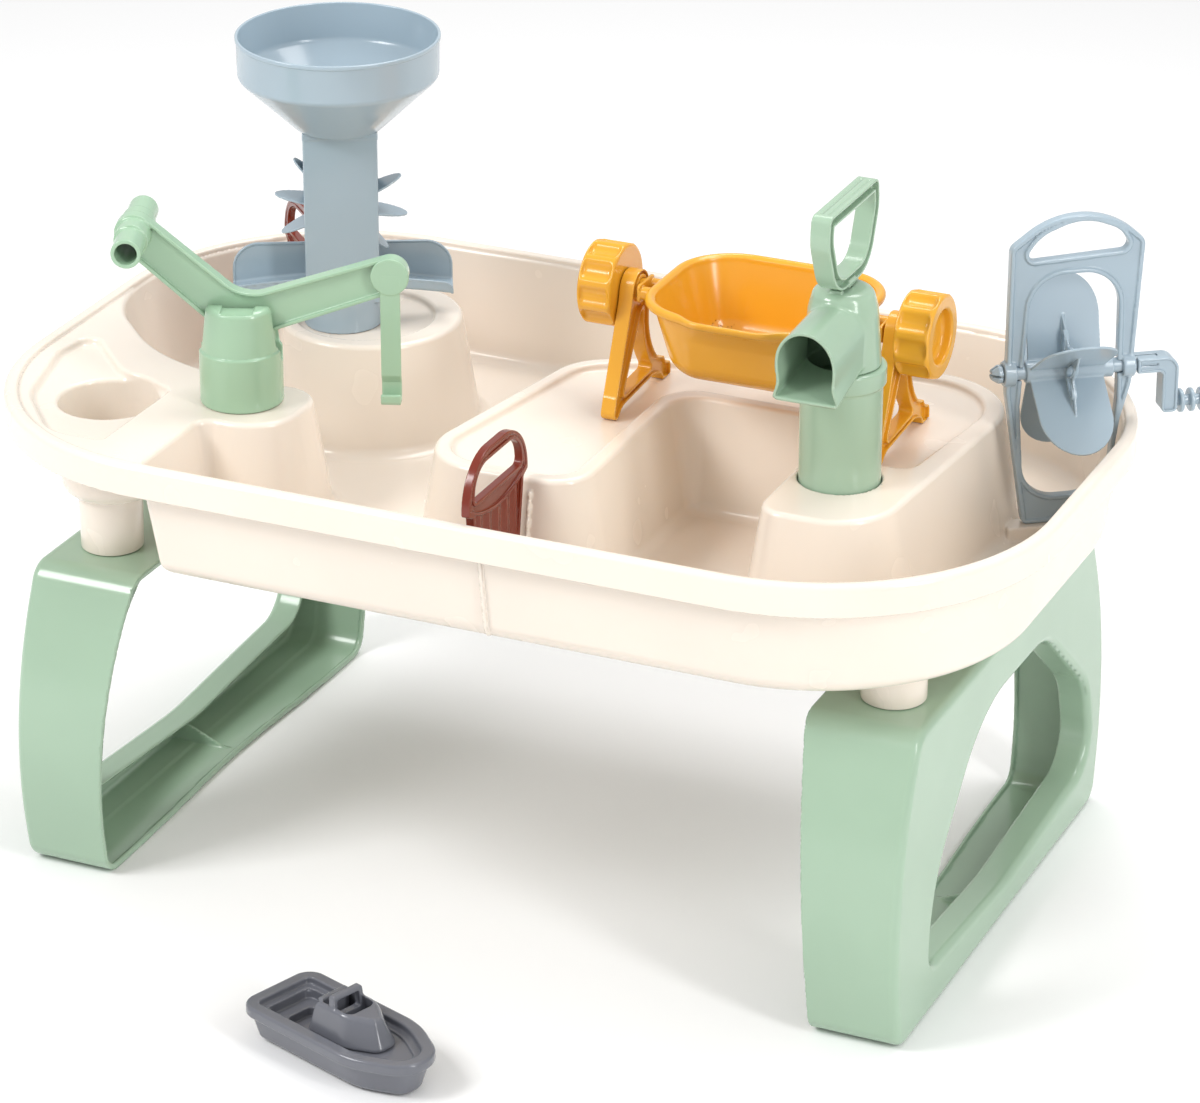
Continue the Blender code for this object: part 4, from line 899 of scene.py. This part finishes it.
def make_pump():
    """Barrel, head, handle and the parts inside."""
    mesh = lathe("barrel_skin", [
        (0.0070, PUMP_BASE_Z, 0.0003), (PUMP_RADIUS, PUMP_BASE_Z, 0.0020), (PUMP_RADIUS, 0.4150, 0.0030),
        (0.0306, 0.4172, 0.0012), (0.0306, 0.4290, 0.0014), (PUMP_RADIUS, 0.4300, 0.0004),
        (0.0261, 0.4300, 0.0003), (0.0261, PUMP_BASE_Z + 0.0025, 0.0010),
        (0.0070, PUMP_BASE_Z + 0.0025, 0.0003),
    ])
    piece("pump_barrel_moulding", mesh, PUMP, "pump", "sage", "pump_barrel")
    toy("pump_head", head_shape, (-0.0270, -0.0720, 0.4180), (0.0270, 0.0268, 0.4870), 0.0011,
        PUMP, "pump", "sage")
    toy("pump_handle", handle_shape, (-GRIP_HALF, -0.0460, 0.3680), (GRIP_HALF, 0.0460, GRIP_TOP_Z), 0.0009,
        PUMP, "pump_rod", "sage")
    for node, slot in (("pump_piston", "grey"), ("piston_seal", "rubber"), ("inlet_valve", "rubber")):
        mesh = bpy.data.objects[node].data
        mesh.materials.clear()
        mesh.materials.append(PLASTICS[slot])


# ---------------------------------------------------------------- tipping bucket
BUCKET_PLAN = rounded(0.074, 0.062, 0.040)
BUCKET_RIM = 0.012
BUCKET_FLOOR = -0.048
KNOB_X = 0.1185
KNOB_RADIUS = 0.0305
KNOB_HALF = 0.0130
STAND_X = 0.0992
STAND_HALF = 0.0055
STAND_FOOT_Z = RECESS_Z + GAP


def bucket_shape(x, y, z):
    """A tapering bowl with a rolled rim, a pouring lip and axle stubs; heights from the axle."""
    w = z - AXLE.z
    depth = BUCKET_RIM - w
    fade = np.clip(1.0 - depth / 0.024, 0.0, 1.0) ** 1.5
    lip = 0.0110 / (1.0 + np.exp((np.abs(x) - 0.0330) / 0.0035)) * np.clip(-y / 0.05, 0.0, 1.0)
    plan = BUCKET_PLAN(x, y + lip * fade)
    bowl = both((plan + 0.29 * depth) * 0.96, BUCKET_FLOOR - w, 0.0170)
    shell = both(both(bowl, -(bowl + 0.0020)), w - 0.0100)
    rim = np.hypot(plan - 0.0008, w - 0.0087) - 0.0033
    bucket = union(shell, rim, 0.0015)
    side = np.abs(x)
    rods = both(np.hypot(np.abs(y) - 0.009, w) - 0.0048, band(side, 0.0600, 0.0917), 0.0008)
    bucket = union(bucket, minus(rods, bowl + 0.0010), 0.0012)
    hub = both(np.hypot(y, w) - 0.0070, band(side, 0.0897, 0.1245), 0.0008)
    web = both(both(np.abs(y) - 0.0135, np.abs(w) - 0.0068, 0.003), band(side, 0.0897, 0.0922), 0.0005)
    return union(bucket, union(hub, web, 0.0004), 0.0004)


def knob_shape(x, y, z):
    """A hand knob with ten scooped pockets round it; x runs outwards."""
    far = np.hypot(y, z)
    out, off = fan(y, z, 10)
    knob = both(far - KNOB_RADIUS, np.abs(x) - KNOB_HALF, 0.0030)
    scoop = both(np.hypot(out - 0.0358, off) - 0.0092, np.abs(x) - 0.0112, 0.0030)
    knob = minus(knob, scoop, 0.0016)
    knob = minus(knob, both(far - 0.0180 - 0.10 * x, 0.0050 - x, 0.0030), 0.0018)
    return minus(knob, both(far - 0.0073, x - 0.0065))


def stand_shape(x, y, z):
    """An A-frame of strap section: straight front leg, curved rear leg and a tie near the foot."""
    foot = STAND_FOOT_Z
    front = bar(y, z, (-0.0425, foot + 0.005), (-0.0030, AXLE.z), 0.0050, 0.0110)
    sweep = np.abs(np.hypot(y - 0.0640, z - 0.4000) - 0.0560) - 0.0048
    sweep = both(sweep, np.maximum(z - AXLE.z, y - 0.0515))
    pad = np.maximum(both(np.abs(y - 0.0450) - 0.0065, band(z, foot, foot + 0.0070), 0.0015), -0.0010)
    top = np.hypot(y, z - AXLE.z) - 0.0128
    tie = both(np.abs(z - foot - 0.0100 - 0.06 * (y + 0.03)) - 0.0030, np.abs(y) - 0.0400)
    flat = union(union(front, union(sweep, pad, 0.004), 0.006), union(top, tie, 0.006), 0.006)
    stand = both(flat, np.abs(x) - STAND_HALF, 0.0008)
    stand = minus(stand, both(flat + 0.0018, 0.0020 - np.abs(x), 0.0008), 0.0005)
    stand = union(stand, both(np.hypot(y, z - AXLE.z) - 0.0100, np.abs(x) - STAND_HALF))
    stand = minus(stand, np.hypot(y, z - AXLE.z) - 0.0073)
    return both(stand, foot - z)


def make_bucket():
    """Bucket, knobs and stands."""
    toy("bucket", bucket_shape, (-0.1245, -0.0775, AXLE.z + BUCKET_FLOOR),
        (0.1245, 0.0660, AXLE.z + 0.0135), 0.0012, BUCKET, "bucket", "ochre")
    for name, side in (("left", -1), ("right", 1)):
        turn = 0.0 if side > 0 else math.pi
        toy("bucket_knob_" + name, knob_shape, (-KNOB_HALF, -KNOB_RADIUS, -KNOB_RADIUS),
            (KNOB_HALF, KNOB_RADIUS, KNOB_RADIUS), 0.0010,
            upright(AXLE.x + side * KNOB_X, AXLE.y, turn, AXLE.z), "bucket", "ochre")
        toy("bucket_stand_" + name, stand_shape, (-STAND_HALF, -0.0480, STAND_FOOT_Z),
            (STAND_HALF, 0.0520, AXLE.z + 0.0130), 0.0009,
            upright(AXLE.x + side * STAND_X, AXLE.y), "table", "ochre")


# ---------------------------------------------------------------- wheel frame
FRAME_EDGE = Outline([
    (-0.0300, 0.0, 0.004), (0.0220, 0.0, 0.004), (0.0330, 0.0350, 0.020), (0.0385, 0.0755, 0.010),
    (0.0455, 0.1020, 0.030), (0.0515, 0.2080, 0.008), (0.0080, 0.2480, 0.060),
    (-0.0450, 0.2080, 0.008), (-0.0455, 0.1000, 0.030),
])
FRAME_ARCH = Outline([
    (-0.0300, 0.0200, 0.026), (0.0300, 0.0200, 0.028), (0.0355, 0.0900, 0.060),
    (0.0340, 0.1870, 0.026), (-0.0290, 0.1870, 0.026), (-0.0350, 0.0900, 0.060),
])
FRAME_GRIP = Outline([
    (-0.0370, 0.1975, 0.005), (0.0430, 0.2020, 0.005), (0.0330, 0.2175, 0.020),
    (0.0060, 0.2280, 0.040), (-0.0240, 0.2160, 0.030),
])
CRANK = Outline([
    (0.0490, -0.0055, 0.0008), (0.0675, -0.0055, 0.0030), (0.0675, -0.0365, 0.0035),
    (0.0790, -0.0365, 0.0035), (0.0790, 0.0055, 0.0100), (0.0490, 0.0055, 0.0008),
])
FIRST_DISC_X = 0.0831
DISC_PITCH = 0.0078
DISCS = 5


def wheel_frame_shape(x, y, z):
    """A plate with a raised rim round its edge, its arch and its grip, and two axle bosses."""
    w = z - SILL_Z - GAP
    flat = both(both(FRAME_EDGE(x, w), -FRAME_ARCH(x, w)), -FRAME_GRIP(x, w))
    plate = both(flat, np.abs(y) - 0.0040, 0.0012)
    plate = minus(plate, both(flat + 0.0032, 0.0024 - np.abs(y), 0.0010), 0.0008)
    far = np.hypot(y, z - PADDLE_SPOT.z)
    boss = both(far - 0.0088, band(np.abs(x), 0.0385, 0.0475), 0.0010)
    return minus(union(plate, boss, 0.0015), both(far - 0.0057, 0.030 - np.abs(x)))


def paddle_shape(x, y, z):
    """Five leaf-shaped blades with pierced gussets, on a hub whose axle ends in a snap-in tip."""
    w = z - PADDLE_SPOT.z
    far = np.hypot(y, w)
    out, off = fan(y, w, 5, math.radians(218))
    aside = x + 0.0025
    blade = both(both(tongue(out, aside, 0.038, 0.069, 0.0265), np.abs(off) - 0.0009, 0.0004), 0.004 - out)
    gusset_edge = np.abs(off) - 0.0150 * (1.0 - (out / 0.040) ** 2)
    gusset = both(both(gusset_edge * 0.8, np.abs(aside) - 0.0009, 0.0004), 0.004 - out)
    oval = (np.hypot((out - 0.0175) / 0.0075, (np.abs(off) - 0.0058) / 0.0030) - 1.0) * 0.0030
    gusset = minus(gusset, oval)
    gusset = union(gusset, both(np.abs(oval - 0.0006) - 0.0007, np.abs(aside) - 0.0019, 0.0004), 0.0003)
    hub = both(far - 0.0078, np.abs(x) - 0.0315, 0.0010)
    axle = both(far - 0.0052, band(x, -0.0500, 0.0640), 0.0006)
    taper = far - 0.0066 + 0.62 * np.maximum(-x - 0.0510, 0.0)
    tip = both(np.maximum(taper, 0.0480 + x), -0.0560 - x, 0.0006)
    tip = minus(tip, both(np.minimum(np.abs(y), np.abs(w)) - 0.0007, x + 0.0485))
    wheel = union(union(hub, union(blade, gusset, 0.0006), 0.0015), axle)
    return union(wheel, tip)


def crank_shape(x, y, z):
    """An elbowed arm with sunk sides and a grip of five discs."""
    w = z - PADDLE_SPOT.z
    flat = CRANK(x, w)
    arm = both(flat, np.abs(y) - 0.0075, 0.0010)
    arm = minus(arm, both(flat + 0.0020, 0.0062 - np.abs(y), 0.0006), 0.0005)
    grip = np.hypot(y, w + 0.0310)
    handle = both(grip - 0.0038, band(x, 0.0780, 0.1180), 0.0006)
    along = x - FIRST_DISC_X
    nearest = np.clip(np.round(along / DISC_PITCH), 0, DISCS - 1) * DISC_PITCH
    discs = both(grip - 0.0085, np.abs(along - nearest) - 0.0016, 0.0012)
    crank = union(arm, union(handle, discs, 0.0008), 0.0010)
    return minus(crank, both(np.hypot(y, w) - 0.0055, x - 0.0645))


def make_wheel_frame():
    """Frame, paddle wheel and crank."""
    toy("wheel_frame", wheel_frame_shape, (-0.0485, -0.0090, SILL_Z),
        (0.0520, 0.0090, SILL_Z + 0.2490), 0.0011, PADDLE, "wheel_frame", "blue")
    reach = Vector((0.0, 0.0700, 0.0700))
    toy("paddle_wheel", paddle_shape, Vector((-0.0560, 0.0, PADDLE_SPOT.z)) - reach,
        Vector((0.0640, 0.0, PADDLE_SPOT.z)) + reach, 0.0009, PADDLE, "paddle_wheel", "blue")
    toy("paddle_crank", crank_shape, (0.0490, -0.0090, PADDLE_SPOT.z - 0.0400),
        (0.1180, 0.0090, PADDLE_SPOT.z + 0.0060), 0.0008, PADDLE, "paddle_wheel", "blue")


# ---------------------------------------------------------------- gates
GATE_HALF = 0.0465
GATE_HEIGHT = 0.1290
GATE_EDGE = Outline(mirrored([
    (0.0262, 0.0, 0.008), (0.0400, 0.0870, 0.002), (GATE_HALF, 0.0900, 0.002),
    (GATE_HALF, GATE_HEIGHT, 0.036),
]))
GATE_GRIP = Outline(mirrored([(0.0370, 0.0965, 0.004), (0.0370, 0.1205, 0.0195)]))
GATE_ARC_Z, GATE_ARC_RADIUS = 0.1795, 0.0975


def gate_shape(x, y, z):
    """A sluice gate: stepped rims, a curved rib and corrugations below it."""
    edge, grip = GATE_EDGE(x, z), GATE_GRIP(x, z)
    depth = np.abs(y)
    gate = both(both(edge, -grip), depth - 0.0030, 0.0006)
    rib = np.hypot(x, z - GATE_ARC_Z) - GATE_ARC_RADIUS
    upper = both(both(edge + 0.0052, 0.0028 - grip), rib + 0.0012)
    gate = minus(gate, both(upper, 0.0015 - depth, 0.0005), 0.0004)
    step = both(edge + 0.0026, both(0.0028 - grip, rib + 0.0012))
    gate = minus(gate, both(step, 0.0024 - depth))
    lower = both(edge + 0.0034, 0.0012 - rib)
    wave = 0.0017 + 0.0008 * np.cos(2 * math.pi * x / 0.0140)
    return minus(gate, both(lower, (wave - depth) * 0.9, 0.0005), 0.0004)


def make_gates():
    """Both gates come from one mould."""
    for node, place in (("gate_front", GATE_FRONT), ("gate_back", GATE_BACK)):
        toy(node, gate_shape, (-GATE_HALF, -0.0030, 0.0), (GATE_HALF, 0.0030, GATE_HEIGHT), 0.0008,
            place, node, "terracotta")


# ---------------------------------------------------------------- boat
BOAT_HALF_LENGTH = 0.0735
BOAT_HALF_WIDTH = 0.0335
BOAT_EDGE = Outline([
    (-BOAT_HALF_LENGTH, -BOAT_HALF_WIDTH, 0.014), (0.0360, -BOAT_HALF_WIDTH, 0.060),
    (BOAT_HALF_LENGTH, -0.0150, 0.022), (BOAT_HALF_LENGTH, 0.0150, 0.022),
    (0.0360, BOAT_HALF_WIDTH, 0.060), (-BOAT_HALF_LENGTH, BOAT_HALF_WIDTH, 0.014),
])
CABIN_EDGE = Outline([
    (-0.0200, -0.0205, 0.005), (0.0180, -0.0205, 0.030), (0.0400, -0.0090, 0.011),
    (0.0400, 0.0090, 0.011), (0.0180, 0.0205, 0.030), (-0.0200, 0.0205, 0.005),
])
COCKPIT = rounded(0.0200, 0.0195, 0.006, -0.0390)
WELL = rounded(0.0165, 0.0110, 0.004, -0.0320)


def hull_shape(x, y, z):
    """A tapering hull under a wide flange, with a sunk deck and a stepped cockpit."""
    edge = BOAT_EDGE(x, y)
    hull = both(edge + 0.0035 + 0.30 * (0.0215 - z), band(z, GAP, 0.0240), 0.0045)
    flange = both(edge, band(z, 0.0205, 0.0290), 0.0024)
    hull = union(hull, flange, 0.0010)
    hull = minus(hull, both(edge + 0.0095, 0.0240 - z, 0.0015), 0.0016)
    hull = minus(hull, both(edge + 0.0150, 0.0225 - z, 0.0008), 0.0008)
    hull = minus(hull, both(COCKPIT(x, y), 0.0170 - z, 0.0012), 0.0010)
    return minus(hull, both(WELL(x, y), 0.0105 - z, 0.0012), 0.0010)


def cabin_shape(x, y, z):
    """An open cabin with a sloping front, a windscreen and a seat back."""
    foot = 0.0225 + GAP
    roof = 0.0455 - 0.10 * np.maximum(x - 0.008, 0.0)
    towards_bow = np.clip((x - 0.010) / 0.03, 0.0, 1.0)
    side = CABIN_EDGE(x, y) + 0.26 * (z - foot) + 0.30 * np.maximum(z - foot, 0.0) * towards_bow
    cabin = both(side * 0.95, np.maximum(foot - z, z - roof), 0.0030)
    inside = both(side + 0.0028, foot + 0.0030 - z)
    inside = both(inside, np.maximum(x - 0.0150, -0.0200 - x), 0.004)
    cabin = minus(cabin, inside, 0.0010)
    screen = both(np.abs(x + 0.0010 + 0.12 * (z - 0.045)) - 0.0026, np.abs(y) - 0.0135 + 0.10 * (z - 0.045))
    screen = both(screen, band(z, foot + 0.001, 0.0530), 0.0020)
    window = both(np.abs(y) - 0.0098, band(z, 0.0385, 0.0492), 0.0015)
    screen = minus(screen, window, 0.0006)
    seat = both(np.abs(x + 0.0135) - 0.0022, np.abs(y) - 0.0120)
    seat = both(seat, band(z, foot + 0.001, 0.0470), 0.0016)
    return union(cabin, union(screen, seat), 0.0010)


def make_boat():
    """Hull and cabin."""
    toy("boat_hull", hull_shape, (-BOAT_HALF_LENGTH, -BOAT_HALF_WIDTH, GAP),
        (BOAT_HALF_LENGTH, BOAT_HALF_WIDTH, 0.0290), 0.0009, BOAT, "boat", "grey")
    toy("boat_cabin", cabin_shape, (-0.0200, -0.0205, 0.0225), (0.0400, 0.0205, 0.0530), 0.0007,
        BOAT, "boat", "grey")


# ---------------------------------------------------------------- camera, light and floor
FLOOR_HALF = 6.0
FLOOR_DROP = 0.0003
SKY_STRENGTH = 0.68
LIT_SPOT = Vector((0.0, 0.0, 0.3))
LAMPS = (
    ("key_light", (-1.5, -1.6, 2.2), (1.0, 1.0), 44.0),
    ("strip_light", (2.2, -0.9, 1.4), (0.35, 1.8), 26.0),
    ("top_light", (0.2, 0.9, 2.4), (1.6, 0.8), 26.0),
)
CAMERA_SPOT = Vector((1.300, -2.851, 1.663))
CAMERA_YAW = math.radians(23.917)
CAMERA_PITCH = math.radians(22.812)
CAMERA_ROLL = math.radians(-0.112)
CAMERA_LENS = 143.85
CAMERA_SHIFT = (-0.0140, -0.1298)


def make_stage():
    """Pale floor, soft studio light and the camera."""
    corners = [(-1, -1), (1, -1), (1, 1), (-1, 1)]
    points = np.array([(x * FLOOR_HALF, y * FLOOR_HALF, -FLOOR_DROP) for x, y in corners])
    floor = link("floor", mesh_of("floor", points, np.array([(0, 1, 2, 3)])))
    paint = bpy.data.materials.new("floor_paint")
    paint.use_nodes = True
    shader = paint.node_tree.nodes["Principled BSDF"]
    fill(shader, {"Base Color": (0.93, 0.93, 0.93, 1.0), "Roughness": 0.9, "Specular IOR Level": 0.1})
    floor.data.materials.append(paint)

    world = bpy.data.worlds.new("studio")
    world.use_nodes = True
    background = world.node_tree.nodes["Background"]
    fill(background, {"Color": (1.0, 1.0, 1.0, 1.0), "Strength": SKY_STRENGTH})
    bpy.context.scene.world = world

    for name, place, size, power in LAMPS:
        lamp = bpy.data.lights.new(name, "AREA")
        lamp.shape = "RECTANGLE"
        lamp.size, lamp.size_y = size
        lamp.energy = power
        made = link(name, lamp)
        made.location = place
        made.rotation_mode = "QUATERNION"
        made.rotation_quaternion = (LIT_SPOT - Vector(place)).to_track_quat("-Z", "Y")

    camera = bpy.data.cameras.new("camera")
    camera.sensor_width = 36.0
    camera.lens = CAMERA_LENS
    camera.shift_x, camera.shift_y = CAMERA_SHIFT
    camera.clip_end = 50.0
    made = link("camera", camera)
    made.location = TABLE @ CAMERA_SPOT
    made.rotation_euler = (math.pi / 2 - CAMERA_PITCH, CAMERA_ROLL, CAMERA_YAW)
    bpy.context.scene.camera = made
    bpy.context.scene.view_settings.view_transform = "Standard"


make_tray()
make_legs()
make_tower()
make_crane()
make_pump()
make_bucket()
make_wheel_frame()
make_gates()
make_boat()
make_stage()
